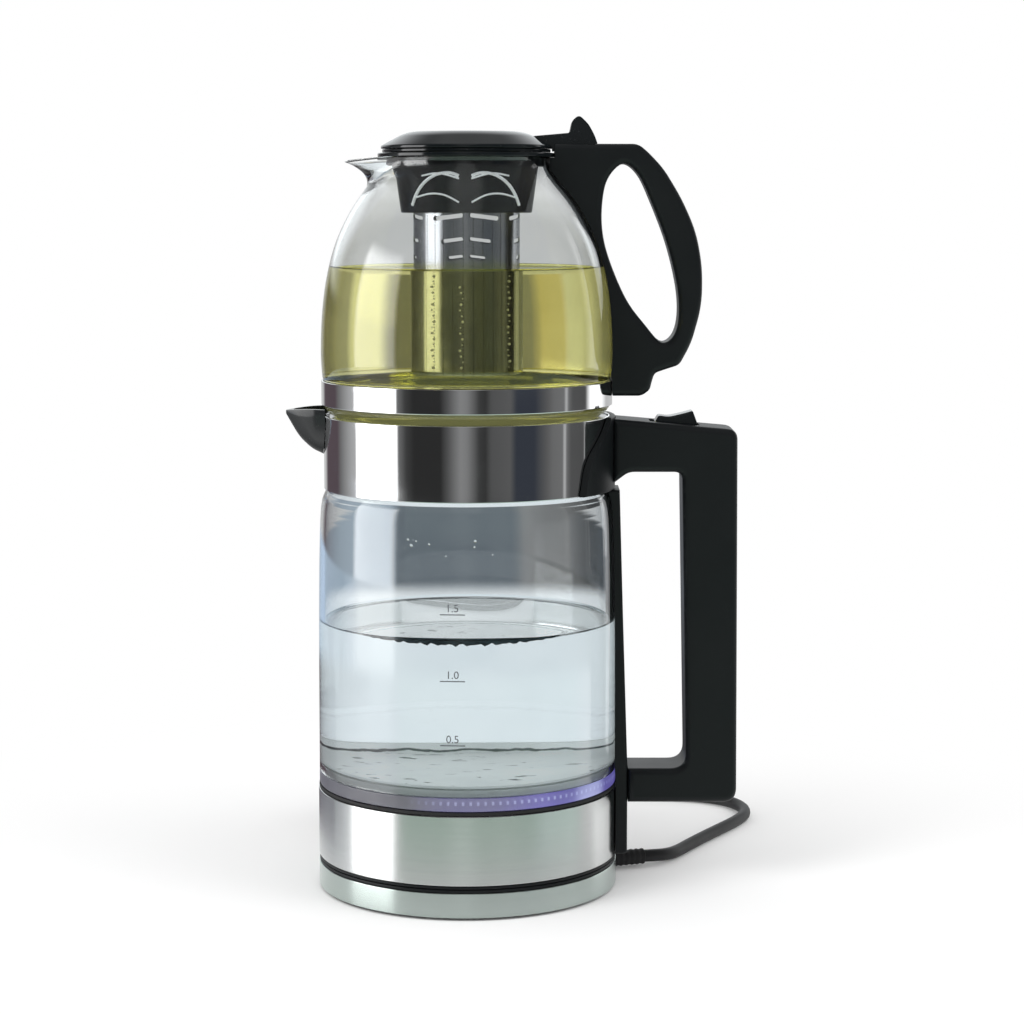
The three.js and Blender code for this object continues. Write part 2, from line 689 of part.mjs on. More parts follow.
// The beak's sections from root to tip. Reach is measured out from the collar, rise and
// depth from the collar's upper edge.
const spout = {
  wall: 2.2,
  root: { reach: -5, halfWidth: 18, rise: 3.4, depth: 22.1 },
  body: { reach: 6, halfWidth: 13, rise: 3.4, depth: 17 },
  nose: { reach: 12.4, halfWidth: 8, rise: 3, depth: 11 },
  tip: { reach: 18.8, halfWidth: 1.6, rise: 2.2, depth: -0.2 },
};
const keelShares = [[-1, 1], [-0.92, 0.62], [-0.55, 0.2], [0, 0], [0.55, 0.2], [0.92, 0.62], [1, 1]];
const channelEndShare = 0.45; // how far the channel runs from nose to tip

function spoutSection({ reach, halfWidth, rise, depth }, inset = 0, raise = 0) {
  const low = collarTop - depth + inset;
  return keelShares.map(([widthShare, heightShare]) => new THREE.Vector3(
    -(collarRadius + reach),
    (halfWidth - inset) * widthShare,
    along(low, collarTop + rise + raise, heightShare)));
}

function makeSpout() {
  const { root, body, nose, tip } = spout;
  const hull = loft([root, body, nose, tip].map((section) => spoutSection(section)));
  const start = { ...root, reach: root.reach - overrun };
  const end = { ...nose, halfWidth: spout.wall + sheet };
  end.reach = along(nose.reach, tip.reach, channelEndShare);
  end.depth = along(nose.depth, tip.depth, channelEndShare);
  const inside = (section) => spoutSection(section, spout.wall, overrun);
  const channel = loft([start, root, body, nose, end].map(inside));
  return cut(hull, channel, disc(collarRadius + clearance, collarBottom, collarTop + 2 * overrun));
}
piece(kettleGroup, "kettle_spout", makeSpout(), black);

// Kettle handle: bracket on the collar, box handle, strip down the glass
const handleWidth = 30;
const bracket = { thickness: 2.4, halfTop: 18.5, halfMid: 42, halfLow: 45.5, midDrop: 18.5 };
// Drops are measured from the collar's upper edge, reaches from the bracket.
const handle = {
  innerDrop: 1.2, outerDrop: 6.6, reachTop: 59.6, reachLow: 60.8, armDepth: 17.2, lowCorner: 7,
  topCorner: 5, gripTop: 27.2, gripLow: 25.4, openDrop: 27.6, openTopCorner: 4, openLowCorner: 8,
  rootFlare: 6, edge: 3,
};
// How far the strip stands proud of the steel at its foot, its middle and its top
const strip = {
  width: 26, foot: 5.2, mid: 2.6, top: 0.7, midShare: 0.66, edge: 1.2, gap: 0.5, corner: 1.5,
};
const bracketOuter = collarRadius + clearance + bracket.thickness;
const handleStart = bracketOuter + clearance;
const handleTop = collarTop - handle.innerDrop;
const openTop = collarTop - handle.openDrop;
const openLow = glassBottom + sheet;
const stripFoot = bodyRadius + strip.foot;

function makeBracket() {
  const band = ring(collarRadius + clearance, bracketOuter, collarBottom, collarTop);
  const midZ = collarTop - bracket.midDrop;
  const wings = outline([
    [-bracket.halfLow, collarBottom], [bracket.halfLow, collarBottom], [bracket.halfMid, midZ, overrun],
    [bracket.halfTop, collarTop], [-bracket.halfTop, collarTop], [-bracket.halfMid, midZ, overrun]]);
  const depth = bodyRadius;
  const tool = new THREE.ExtrudeGeometry(wings, { depth, curveSegments: 4, bevelEnabled: false });
  // The outline's x runs along Y and its y along Z, and it is pushed out along X.
  return common(band, closed(tool.rotateX(Math.PI / 2).rotateZ(Math.PI / 2)));
}
piece(kettleGroup, "handle_bracket", makeBracket(), black);

// Rocker switch on top of the handle: sizes to the left and right of its pin
const rocker = {
  reach: 29, drop: 8.1, width: 12, left: 10.4, right: 11.2, rise: 4.1, leftTop: 8, rightTop: 8.9,
  rightRise: 10.3, depth: 5, edge: 0.8, pin: 1.5, pinLength: 16,
};
const rockerFootShare = 0.83; // where its round underside begins
const rockerX = handleStart + rocker.reach;
const rockerZ = collarTop - rocker.drop;
const pocket = { half: 12.4, halfWidth: 6.6, floor: 3.7 };
const pocketFloor = openTop + pocket.floor;
const switchModule = { length: 22, height: 9.6 };

function kettleHandleOutline() {
  const h = handle;
  const foot = stripFoot + clearance;
  const [outerTop, outerLow] = [handleStart + h.reachTop, handleStart + h.reachLow];
  const armLow = openLow - h.armDepth;
  return outline([
    [foot, armLow],
    [outerLow, armLow, h.lowCorner],
    [outerTop, collarTop - h.outerDrop, h.topCorner],
    [handleStart, handleTop],
    [handleStart, openTop - h.rootFlare],
    [handleStart + h.rootFlare, openTop, h.rootFlare / 2],
    [outerTop - h.gripTop, openTop, h.openTopCorner],
    [outerLow - h.gripLow, openLow, h.openLowCorner],
    [foot, openLow],
  ]);
}

function makeKettleHandle() {
  const body = plate(kettleHandleOutline(), handleWidth, handle.edge);
  const high = handleTop + overrun;
  const well = block([rockerX, 0, (pocketFloor + high) / 2],
    [2 * pocket.half, 2 * pocket.halfWidth, high - pocketFloor]);
  const halfPin = rocker.pinLength / 2 + clearance;
  const pinBore = bar([rockerX, -halfPin, rockerZ], [rockerX, halfPin, rockerZ],
    rocker.pin + clearance, boreSteps);
  return cut(body, well, pinBore, disc(handleStart, openTop - 2 * handle.rootFlare, high));
}
piece(kettleGroup, "kettle_handle", makeKettleHandle(), black);

function makeHandleStrip() {
  const top = collarBottom - clearance;
  const midZ = along(skirtBottom, top, strip.midShare);
  const shape = outline([
    [neckRadius, skirtBottom],
    [stripFoot, skirtBottom, strip.corner],
    [stripFoot, openLow],
    [bodyRadius + strip.mid, midZ],
    [bodyRadius + strip.top, top],
    [neckRadius, top],
  ]);
  const core = turned([
    [0, skirtBottom - overrun],
    [bodyRadius + strip.gap, skirtBottom - overrun],
    [bodyRadius + strip.gap, ledBottom],
    ...kettleGlassOuter(strip.gap),
    [neckRadius + strip.gap, top + overrun],
    [0, top + overrun],
  ]);
  const pilot = bar([bodyRadius, 0, strapScrewZ], [bodyRadius + strapScrew.length, 0, strapScrewZ],
    screw.shank + clearance);
  return cut(plate(shape, strip.width, strip.edge, 4, 1), core, pilot);
}
piece(kettleGroup, "handle_strip", makeHandleStrip(), black);

const strapScrewBody = makeScrew(0, strapScrew.length).rotateY(Math.PI / 2);
strapScrewBody.translate(bodyRadius - sheet - clearance - screw.headHeight, 0, strapScrewZ);
piece(kettleGroup, "strip_screw", strapScrewBody, aluminium);

const moduleBody = block([rockerX, 0, pocketFloor + clearance + switchModule.height / 2],
  [switchModule.length, 2 * (pocket.halfWidth - clearance), switchModule.height]);
piece(kettleGroup, "switch_module", closed(moduleBody), board);

const rockerGroup = new THREE.Group();
rockerGroup.position.set(rockerX, 0, rockerZ);
kettleGroup.add(rockerGroup);

function makeRocker() {
  const r = rocker;
  const shape = outline([
    [-r.left, r.rise],
    [-r.left * rockerFootShare, 0, r.depth / 3],
    [0, -r.depth, r.depth],
    [r.right * rockerFootShare, 0, r.depth / 3],
    [r.right, r.rise],
    [r.rightTop, r.rightRise, r.edge],
    [-r.leftTop, r.leftTop, r.edge],
  ]);
  const bore = bar([0, -r.width, 0], [0, r.width, 0], r.pin + clearance, boreSteps);
  return cut(plate(shape, r.width, r.edge, 3, 1), bore);
}
piece(rockerGroup, "rocker_switch", makeRocker(), black);
const halfRockerPin = rocker.pinLength / 2;
const rockerPin = bar([0, -halfRockerPin, 0], [0, halfRockerPin, 0], rocker.pin, boreSteps);
piece(rockerGroup, "rocker_pin", rockerPin, aluminium);

// Teapot glass, from a foot that stands on the seat up to the neck
const pot = {
  wall: 2.2, footInset: 3.7, footHeight: 5.6, kick: 1.6, kickInset: 10.2, floor: 3.2, flare: 4.7,
  bulge: 1.3, waistHeight: 12.4, dome: 103.5, neck: 41, neckHeight: 2.8, rimFlare: 0.6, rimHeight: 2.4,
};
const potFoot = linerRadius - pot.footInset;
const potWaist = potFoot + pot.flare;
const potRadius = potWaist + pot.bulge;
const lip = { reach: 18.4, drop: 2, height: 15.5, halfAngle: 40 };
// The dome: share of the way from the neck's radius to the widest, share of the height
const domeShares = [
  [0.98, 0.02], [1, 0.13], [0.979, 0.3], [0.912, 0.466], [0.78, 0.628], [0.583, 0.763], [0.357, 0.872],
  [0.074, 0.975]];
// The bulge of the foot: share of its flare, share of its height
const footShares = [0.6, 0.36];
const potBottom = seatTop + clearance;
const waistLow = potBottom + pot.footHeight;
const waistTop = waistLow + pot.waistHeight;
const domeTop = waistTop + pot.dome;
const rimTop = domeTop + pot.neckHeight + pot.rimHeight;
const domePoint = ([radiusShare, heightShare], inset) => [
  along(pot.neck, potRadius, radiusShare) - inset, along(waistTop, domeTop, heightShare)];

// The outer face of the teapot from its foot to its rim, let out by a gap.
function potOuter(gap = 0) {
  return [
    [potFoot + gap, potBottom],
    [along(potFoot, potWaist, footShares[0]) + gap, along(potBottom, waistLow, footShares[1])],
    [potWaist + gap, waistLow],
    [potWaist + gap, waistTop],
    ...domeShares.map((share) => domePoint(share, -gap)),
    [pot.neck + gap, domeTop + pot.neckHeight],
    [pot.neck + pot.rimFlare + gap, rimTop],
  ];
}

// Draws the rim out to a pouring lip on the spout side.
function pullLip(geometry) {
  const position = geometry.getAttribute("position");
  const spread = radians(lip.halfAngle);
  for (let i = 0; i < position.count; i++) {
    const [x, y, z] = [position.getX(i), position.getY(i), position.getZ(i)];
    const turn = Math.abs(Math.atan2(y, -x)) / spread;
    const rise = (z - (rimTop - lip.height)) / lip.height;
    if (turn >= 1 || rise <= 0) continue;
    const weight = Math.cos((turn * Math.PI) / 2) ** 2 * Math.min(rise, 1);
    const radius = Math.hypot(x, y);
    const scale = (radius + lip.reach * weight * Math.sqrt(rise)) / radius;
    position.setXYZ(i, x * scale, y * scale, z - lip.drop * weight);
  }
  return geometry;
}

function makePotGlass() {
  const inner = domeShares.filter((_, i) => i % 2 === 1).map((share) => domePoint(share, pot.wall));
  const kickRadius = potFoot - pot.kickInset;
  const body = turned([
    [0, potBottom + pot.kick],
    [kickRadius, potBottom + pot.kick],
    [kickRadius + pot.kick, potBottom],
    ...potOuter(),
    [pot.neck + pot.rimFlare - pot.wall, rimTop],
    [pot.neck - pot.wall, domeTop + pot.neckHeight],
    ...inner.reverse(),
    [potWaist - pot.wall, waistLow],
    [potFoot - pot.wall, potBottom + pot.kick + pot.floor],
    [0, potBottom + pot.kick + pot.floor],
  ]);
  return pullLip(body);
}

const potGroup = new THREE.Group();
teaMaker.add(potGroup);
piece(potGroup, "teapot_glass", makePotGlass(), glass);

// Steel band with a tab that the handle's foot is screwed to
const potBand = {
  thickness: 0.9, inset: 0.2, tab: 11, tabWidth: 8, tabThickness: 1.6, tabShare: 0.62, screwPlace: 7,
};
const bandInner = potWaist + clearance;
const bandOuter = bandInner + potBand.thickness;
const bandLow = waistLow + potBand.inset;
const bandHigh = waistTop - potBand.inset;
const tabZ = along(bandLow, bandHigh, potBand.tabShare);
const bandScrewX = bandOuter + potBand.screwPlace;

function makePotBand() {
  const tab = block([bandInner + (potBand.thickness + potBand.tab) / 2, 0, tabZ],
    [potBand.thickness + potBand.tab - clearance, potBand.tabWidth, potBand.tabThickness]);
  const hole = bar([bandScrewX, 0, tabZ - overrun], [bandScrewX, 0, tabZ + overrun],
    screw.shank + clearance, boreSteps);
  return cut(join(ring(bandInner, bandOuter, bandLow, bandHigh), tab), hole);
}
piece(potGroup, "teapot_band", makePotBand(), polished);

// Plastic ring on the teapot's rim, which the infuser rests on
const neckRing = {
  overhang: 2.6, height: 2, grip: 0.9, gripDepth: 5, lug: 6.4, lugWidth: 8, lugRoot: 1.2,
};
const gripOuter = pot.neck - pot.wall - clearance;
const ringInner = gripOuter - neckRing.grip;
const ringOuter = pot.neck + neckRing.overhang;
const ringLow = rimTop + clearance;
const ringTop = ringLow + neckRing.height;

function makeNeckRing() {
  const body = turned([
    [ringInner, ringTop],
    [ringInner, ringLow - neckRing.gripDepth],
    [gripOuter, ringLow - neckRing.gripDepth],
    [gripOuter, ringLow],
    [ringOuter, ringLow],
    [ringOuter, ringTop],
  ]);
  const lug = block([ringOuter + neckRing.lug / 2 - neckRing.lugRoot, 0, (ringLow + ringTop) / 2],
    [neckRing.lug, neckRing.lugWidth, neckRing.height]);
  return join(body, lug);
}
piece(potGroup, "neck_ring", makeNeckRing(), black);

// Teapot handle: a closed bow with an oval finger hole
const bow = { width: 22, edge: 3, reach: 44.2, rise: 4.4, foot: 4.6, gap: 0.5 };
const bowInner = ringOuter + 2 * bow.gap;
const bowTop = ringTop + bow.rise;
const bowLow = waistLow + bow.foot;
const bowNeck = pot.neck + pot.rimFlare + bow.gap;
// Corners from the top round to the foot: share of the reach out from the teapot's
// widest radius, share of the height, and share of the largest rounding
const bowShares = [
  [0.27, 1, 0.42], [0.65, 0.83, 0.5], [0.94, 0.6, 0.8], [1, 0.41, 1], [0.88, 0.2, 0.67],
  [0.73, 0.115, 0.25], [0.44, 0.08, 0.17], [0.42, 0.03, 0.25], [0.3, 0, 0.17], [-0.14, 0, 0],
  [-0.14, 0.43, 0]];
const bowNeckShare = 0.83; // height at which the inside of the handle meets the neck
const bowRoundShare = 0.0974; // the largest rounding, from the height
const bowHoleShares = [
  [0.095, 0.92], [-0.07, 0.86], [-0.13, 0.76], [-0.12, 0.645], [-0.035, 0.53], [0.145, 0.385],
  [0.35, 0.285], [0.53, 0.216], [0.66, 0.237], [0.725, 0.313], [0.705, 0.435], [0.59, 0.605],
  [0.415, 0.77], [0.265, 0.88]];
const bowPoint = ([reachShare, heightShare]) => [
  potRadius + bow.reach * reachShare, along(bowLow, bowTop, heightShare)];

// Lid hinge: the lid's knuckle drops into a slot in the top of the handle
const hinge = { rise: 0.8, barrel: 3.2, pin: 1.5, pinLength: 19, width: 10 };
const hingeSlot = { half: 12, depth: 4.4, gap: 0.5 };
const hingeShare = 0.41483; // place of the hinge between the ring and the handle's first corner
const hingeX = along(bowInner, bowPoint(bowShares[0])[0], hingeShare);
const hingeZ = ringTop + hinge.rise;

function makeBow() {
  const inner = bowNeck - bow.edge;
  const largest = bowRoundShare * (bowTop - bowLow);
  const shape = outline([
    [inner, bowTop],
    ...bowShares.map((share) => [...bowPoint(share), largest * share[2]]),
    [inner, along(bowLow, bowTop, bowNeckShare)],
  ]);
  const hole = new THREE.Path();
  const points = bowHoleShares.map((share) => new THREE.Vector2(...bowPoint(share)));
  hole.moveTo(points[0].x, points[0].y);
  hole.splineThru([...points.slice(1), points[0]]);
  shape.holes.push(hole);
  const body = plate(shape, bow.width, bow.edge, 2, 2);
  const high = bowTop + overrun;
  const core = turned([
    [0, potBottom - overrun],
    [potFoot, potBottom - overrun],
    [bandOuter + bow.gap, potBottom + pot.kick],
    [bandOuter + bow.gap, waistTop],
    ...domeShares.map((share) => domePoint(share, -bow.gap)),
    [bowNeck, domeTop + pot.neckHeight],
    [bowNeck, ringLow - clearance],
    [bowInner, ringLow - clearance],
    [bowInner, high],
    [0, high],
  ]);
  const slotFloor = hingeZ - hingeSlot.depth;
  const slot = block([hingeX, 0, (slotFloor + high) / 2],
    [2 * hingeSlot.half, hinge.width + 2 * hingeSlot.gap, high - slotFloor]);
  const mouthFloor = hingeZ - hingeSlot.gap;
  const mouth = block([(bowNeck + hingeX) / 2, 0, (mouthFloor + high) / 2],
    [hingeX - bowNeck, hinge.width + 2 * hingeSlot.gap, high - mouthFloor]);
  const pinWell = hinge.pin + clearance;
  const notch = block([hingeX, 0, (hingeZ - pinWell + high) / 2],
    [2 * pinWell, hinge.pinLength + 2 * clearance, high - hingeZ + pinWell]);
  const lugPocket = block([ringOuter, 0, (ringLow + ringTop) / 2],
    [2 * neckRing.lug, neckRing.lugWidth + 2 * clearance, neckRing.height + 2 * clearance]);
  const tabPocket = block([bandOuter, 0, tabZ], [
    2 * (potBand.tab + clearance),
    potBand.tabWidth + 2 * clearance,
    potBand.tabThickness + 2 * clearance,
  ]);
  const screwAt = (z) => [bandScrewX, 0, z];
  const headBore = bar(screwAt(bowLow - overrun), screwAt(bowLow + screw.headHeight),
    screw.head + clearance, boreSteps);
  const shankBore = bar(screwAt(bowLow), screwAt(tabZ + overrun), screw.shank + clearance, boreSteps);
  return cut(body, core, slot, mouth, notch, lugPocket, tabPocket, headBore, shankBore);
}
piece(potGroup, "teapot_handle", makeBow(), black);
piece(potGroup, "band_screw",
  makeScrew(bowLow, tabZ + overrun - bowLow - 2 * clearance).translate(bandScrewX, 0, 0), aluminium);

// Infuser: black holder with arched recesses, steel filter with slots
const holder = { flangeInset: 2.2, flangeHeight: 1.4, slack: 1.2, taper: 4.2, wall: 2, depth: 29.5 };
const holderFlange = ringOuter - holder.flangeInset;
const holderTop = ringInner - holder.slack;
const holderLow = holderTop - holder.taper;
const arch = { lowRise: 4.5, height: 13, depth: 1.1 };
const archShare = 0.81; // half the arch's width, from the holder's lower radius
const archTopShare = 0.8; // the arch's upper width
const filter = { inset: 6, wall: 0.8, depth: 78.5, lip: 1.7 };
const filterRadius = holderLow - filter.inset;
// Pairs of slots on four sides, each pair split by a bar and falling away from it
const slots = { height: 2.2, bar: 2.6, tilt: 7, sides: 4 };
// Rows of slots: share of the filter's height and reach from the filter's radius
const slotShares = [[0.927, 0.6], [0.79, 0.46], [0.69, 0.36]];

const infuserGroup = new THREE.Group();
teaMaker.add(infuserGroup);
const flangeLow = ringTop + clearance;
const flangeTop = flangeLow + holder.flangeHeight;
const holderBottom = flangeLow - holder.depth;
const filterBottom = holderBottom - filter.depth;
const filterSeat = holderBottom + holder.wall + clearance;
const filterTop = filterSeat + filter.lip;

function makeHolder() {
  const [top, low, bottom, thick] = [holderTop, holderLow, holderBottom, holder.wall];
  const lipInner = filterRadius + clearance;
  const body = turned([
    [top - thick, flangeTop],
    [holderFlange, flangeTop],
    [holderFlange, flangeLow],
    [top, flangeLow],
    [low, bottom],
    [lipInner, bottom],
    [lipInner, bottom + thick],
    [low - thick, bottom + thick],
  ]);
  const archLow = bottom + arch.lowRise;
  const archTop = archLow + arch.height;
  const lowHalf = low * archShare;
  const topHalf = lowHalf * archTopShare;
  const shape = outline([
    [-lowHalf, archLow],
    [lowHalf, archLow],
    [topHalf, archTop, overrun],
    [-topHalf, archTop, overrun],
  ]);
  const shell = turned([
    [top - arch.depth, flangeLow],
    [top + overrun, flangeLow],
    [low + overrun, bottom],
    [low - arch.depth, bottom],
  ]);
  const recess = common(plate(shape, 2 * holderFlange), shell);
  return cut(body, recess);
}
piece(infuserGroup, "infuser_holder", makeHolder(), black);

function makeFilter() {
  const [radius, thick] = [filterRadius, filter.wall];
  const lipRadius = radius + holder.wall / 2;
  const body = turned([
    [0, filterBottom],
    [radius - thick, filterBottom],
    [radius, filterBottom + thick],
    [radius, filterSeat],
    [lipRadius, filterSeat],
    [lipRadius, filterTop],
    [radius - thick, filterTop],
    [radius - thick, filterBottom + thick],
    [0, filterBottom + thick],
  ], fineSteps);
  const cuts = [];
  for (const [heightShare, reachShare] of slotShares) {
    const height = along(filterBottom, filterTop, heightShare);
    const width = radius * reachShare - slots.bar / 2;
    for (let i = 0; i < 2 * slots.sides; i++) {
      const side = i % 2 ? 1 : -1;
      const slot = block([0, 0, 0], [width, 3 * overrun, slots.height])
        .rotateY(radians(side * slots.tilt))
        .translate(side * (slots.bar + width) / 2, -radius, height);
      cuts.push(slot.rotateZ((Math.floor(i / 2) / slots.sides) * 2 * Math.PI));
    }
  }
  return cut(body, ...cuts);
}
piece(infuserGroup, "infuser_filter", makeFilter(), steel);

// Lid with its tongue, thumb tab and knuckle
const lid = { overhang: 0.6, rise: 8.4, flatInset: 15, edge: 1.5, wall: 2, shoulderInset: 10 };
const lidRadius = holderFlange + lid.overhang;
const lidFlat = lidRadius - lid.flatInset;
const lidShoulder = lidRadius - lid.shoulderInset;
// Heights of the tongue are measured from the lid's lower edge. In front of the hinge it
// reaches down into the handle's slot.
const tongue = { low: 2.9, top: 6.2, rootTop: 7.8, root: 10.6 };
// Corners of the thumb tab, measured from the hinge
const tab = { front: [-9.4, 14.8], peak: [-5.8, 17.8], back: [-1.2, 13.4], heel: [1.8, 8] };
const tabRound = 2.1;
const lidLow = flangeTop + clearance;
const lidTop = lidLow + lid.rise;

function makeLid() {
  const [radius, flat, edge, thick] = [lidRadius, lidFlat, lid.edge, lid.wall];
  const dome = turned([
    [0, lidTop],
    [flat, lidTop],
    [lidShoulder, lidTop - edge],
    [radius, lidLow + edge],
    [radius, lidLow],
    [radius - thick, lidLow],
    [radius - thick, lidLow + edge / 2],
    [lidShoulder - edge, lidTop - edge - thick],
    [flat - edge, lidTop - thick],
    [0, lidTop - thick],
  ]);
  const { front, peak, back, heel } = tab;
  const tabCorners = [heel, back, peak, front].map(([x, z]) => [hingeX + x, hingeZ + z, tabRound]);
  const shape = outline([
    [lidShoulder, lidLow],
    [radius, lidLow],
    [radius, hingeZ],
    [hingeX + hinge.barrel, hingeZ],
    [hingeX + hinge.barrel, lidLow + tongue.low],
    ...tabCorners,
    [hingeX - tongue.root, lidLow + tongue.rootTop, edge / 2],
    [lidShoulder, lidLow + tongue.top],
  ]);
  const halfWidth = hinge.width / 2;
  const barrel = bar([hingeX, -halfWidth, hingeZ], [hingeX, halfWidth, hingeZ], hinge.barrel);
  const bore = bar([hingeX, -hinge.width, hingeZ], [hingeX, hinge.width, hingeZ],
    hinge.pin + clearance, boreSteps);
  const underside = turned([
    [0, lidLow - overrun],
    [radius - thick, lidLow - overrun],
    [radius - thick, lidLow + edge / 2],
    [lidShoulder - edge, lidTop - edge - thick],
    [flat - edge, lidTop - thick],
    [0, lidTop - thick],
  ]);
  const arm = cut(join(plate(shape, hinge.width), barrel), bore, underside);
  return join(dome, arm);
}

const lidGroup = new THREE.Group();
infuserGroup.add(lidGroup);
piece(lidGroup, "teapot_lid", makeLid(), black);
const halfHingePin = hinge.pinLength / 2;
const hingePin = bar([hingeX, -halfHingePin, hingeZ], [hingeX, halfHingePin, hingeZ],
  hinge.pin, boreSteps);
piece(lidGroup, "lid_hinge_pin", hingePin, aluminium);

export default teaMaker;
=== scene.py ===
# A double tea maker on a pale floor: a glass teapot with its infuser, on a lit glass kettle
# that stands on a corded base. +Z up, +X towards the handles. Shapes are drawn in
# millimetres and come into the scene in metres.
import json
import math

import bmesh
import bpy
from mathutils import Matrix, Vector


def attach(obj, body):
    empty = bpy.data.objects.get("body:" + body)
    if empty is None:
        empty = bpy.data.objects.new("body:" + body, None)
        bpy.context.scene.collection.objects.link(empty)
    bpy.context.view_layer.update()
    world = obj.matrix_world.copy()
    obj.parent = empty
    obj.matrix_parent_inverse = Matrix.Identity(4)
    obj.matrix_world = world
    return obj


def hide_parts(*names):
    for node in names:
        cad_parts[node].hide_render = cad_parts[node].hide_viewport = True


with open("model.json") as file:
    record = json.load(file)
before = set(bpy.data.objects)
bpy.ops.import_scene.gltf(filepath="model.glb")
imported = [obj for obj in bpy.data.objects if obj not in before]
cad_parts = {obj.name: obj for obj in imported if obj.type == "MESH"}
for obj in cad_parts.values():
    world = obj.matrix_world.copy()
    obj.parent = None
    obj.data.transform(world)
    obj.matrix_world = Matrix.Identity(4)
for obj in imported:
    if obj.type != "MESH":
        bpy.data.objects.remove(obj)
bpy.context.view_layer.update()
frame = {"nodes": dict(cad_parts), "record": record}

MM = 0.001
STEPS = 160  # facets round the large turned pieces
TAU = 2 * math.pi

# Places that several pieces share, in millimetres
RIM_RADIUS = 75  # of the base and the skirt
JAR_WALL, POT_WALL = 2.6, 2.2
WATER_LEVEL, TEA_LEVEL = 135, 310
RELIEF_TURN, RELIEF_HEIGHT = math.radians(18), 5.2
ROCKER_AXIS, LID_AXIS = (103, 229.5), (61, 367)  # x and z
BAND_SCREW_X = 79.1
HOLE_RADIUS = 1.8  # for the pins and the band's screw
FILTER_RADIUS = 26.2

# Camera: level with the teapot's lid, looking a little down
LENS, SENSOR, PITCH = 90.2, 36, math.radians(6.83)
camera_data = bpy.data.cameras.new("camera")
camera_data.lens, camera_data.sensor_width = LENS, SENSOR
camera = bpy.data.objects.new("camera", camera_data)
camera.location = (22.4 * MM, -1272 * MM, 343.5 * MM)
camera.rotation_euler = (math.pi / 2 - PITCH, 0, 0)
bpy.context.scene.collection.objects.link(camera)
bpy.context.scene.camera = camera


# Shader maths
class Wire:
    """A socket of a shader, with arithmetic that adds its Math nodes."""

    def __init__(self, tree, socket):
        self.tree, self.socket = tree, socket

    def math(self, operation, *others):
        return Net(self.tree).wire(0, "ShaderNodeMath", {"operation": operation},
                                   dict(enumerate([self, *others])))

    def __add__(self, other):
        return self.math("ADD", other)

    def __sub__(self, other):
        return self.math("SUBTRACT", other)

    def __rsub__(self, other):
        return (self * -1).math("ADD", other)

    def __mul__(self, other):
        return self.math("MULTIPLY", other)

    def __truediv__(self, other):
        return self.math("DIVIDE", other)

    def __gt__(self, other):
        return self.math("GREATER_THAN", other)

    def __lt__(self, other):
        return self.math("LESS_THAN", other)

    __radd__, __rmul__ = __add__, __mul__

    def clamp(self):
        return self.math("MAXIMUM", 0).math("MINIMUM", 1)

    def rise(self, start, end):
        """0 up to start, 1 from end on, and a smooth step between them."""
        share = ((self - start) / (end - start)).clamp()
        return share * share * (3 - 2 * share)


def colour(value):
    """A grey of one number or a colour of three, as a socket takes it. A wire stays as it is."""
    if isinstance(value, Wire):
        return value
    red, green, blue = value if isinstance(value, tuple) else (value, value, value)
    return (red, green, blue, 1)


def connect(tree, socket, value):
    if isinstance(value, Wire):
        tree.links.new(value.socket, socket)
    else:
        socket.default_value = value


def set_stops(band, stops):
    """Gives a ramp its colours at places from 0 to 1."""
    for _ in stops[2:]:
        band.new(0.5)
    for stop, (spot, level) in zip(band, stops):
        stop.position = spot
        stop.color = colour(level)


class Net:
    """A tree of shader nodes."""

    def __init__(self, tree):
        self.tree = tree

    def node(self, kind, settings=None, sockets=None):
        """A new node: its settings come first, a ramp's stops among them, then its sockets."""
        node = self.tree.nodes.new(kind)
        for key, value in (settings or {}).items():
            if key == "stops":
                set_stops(node.color_ramp.elements, value)
            else:
                setattr(node, key, value)
        for key, value in (sockets or {}).items():
            connect(self.tree, node.inputs[key], value)
        return node

    def wire(self, output, kind, settings=None, sockets=None):
        """The wire from one output of a new node."""
        return Wire(self.tree, self.node(kind, settings, sockets).outputs[output])

    def split(self, vector):
        node = self.node("ShaderNodeSeparateXYZ", None, {"Vector": vector})
        return [Wire(self.tree, output) for output in node.outputs]

    def mix(self, share, first, second):
        """A colour between two colours."""
        return self.wire(2, "ShaderNodeMix", {"data_type": "RGBA"},
                         {0: share, 6: colour(first), 7: colour(second)})

    def blend(self, share, first, second):
        """A shader between two shaders."""
        return self.wire(0, "ShaderNodeMixShader", None, {0: share, 1: first, 2: second})

    def ramp(self, value, stops):
        return self.wire("Color", "ShaderNodeValToRGB", {"stops": stops}, {"Fac": value})


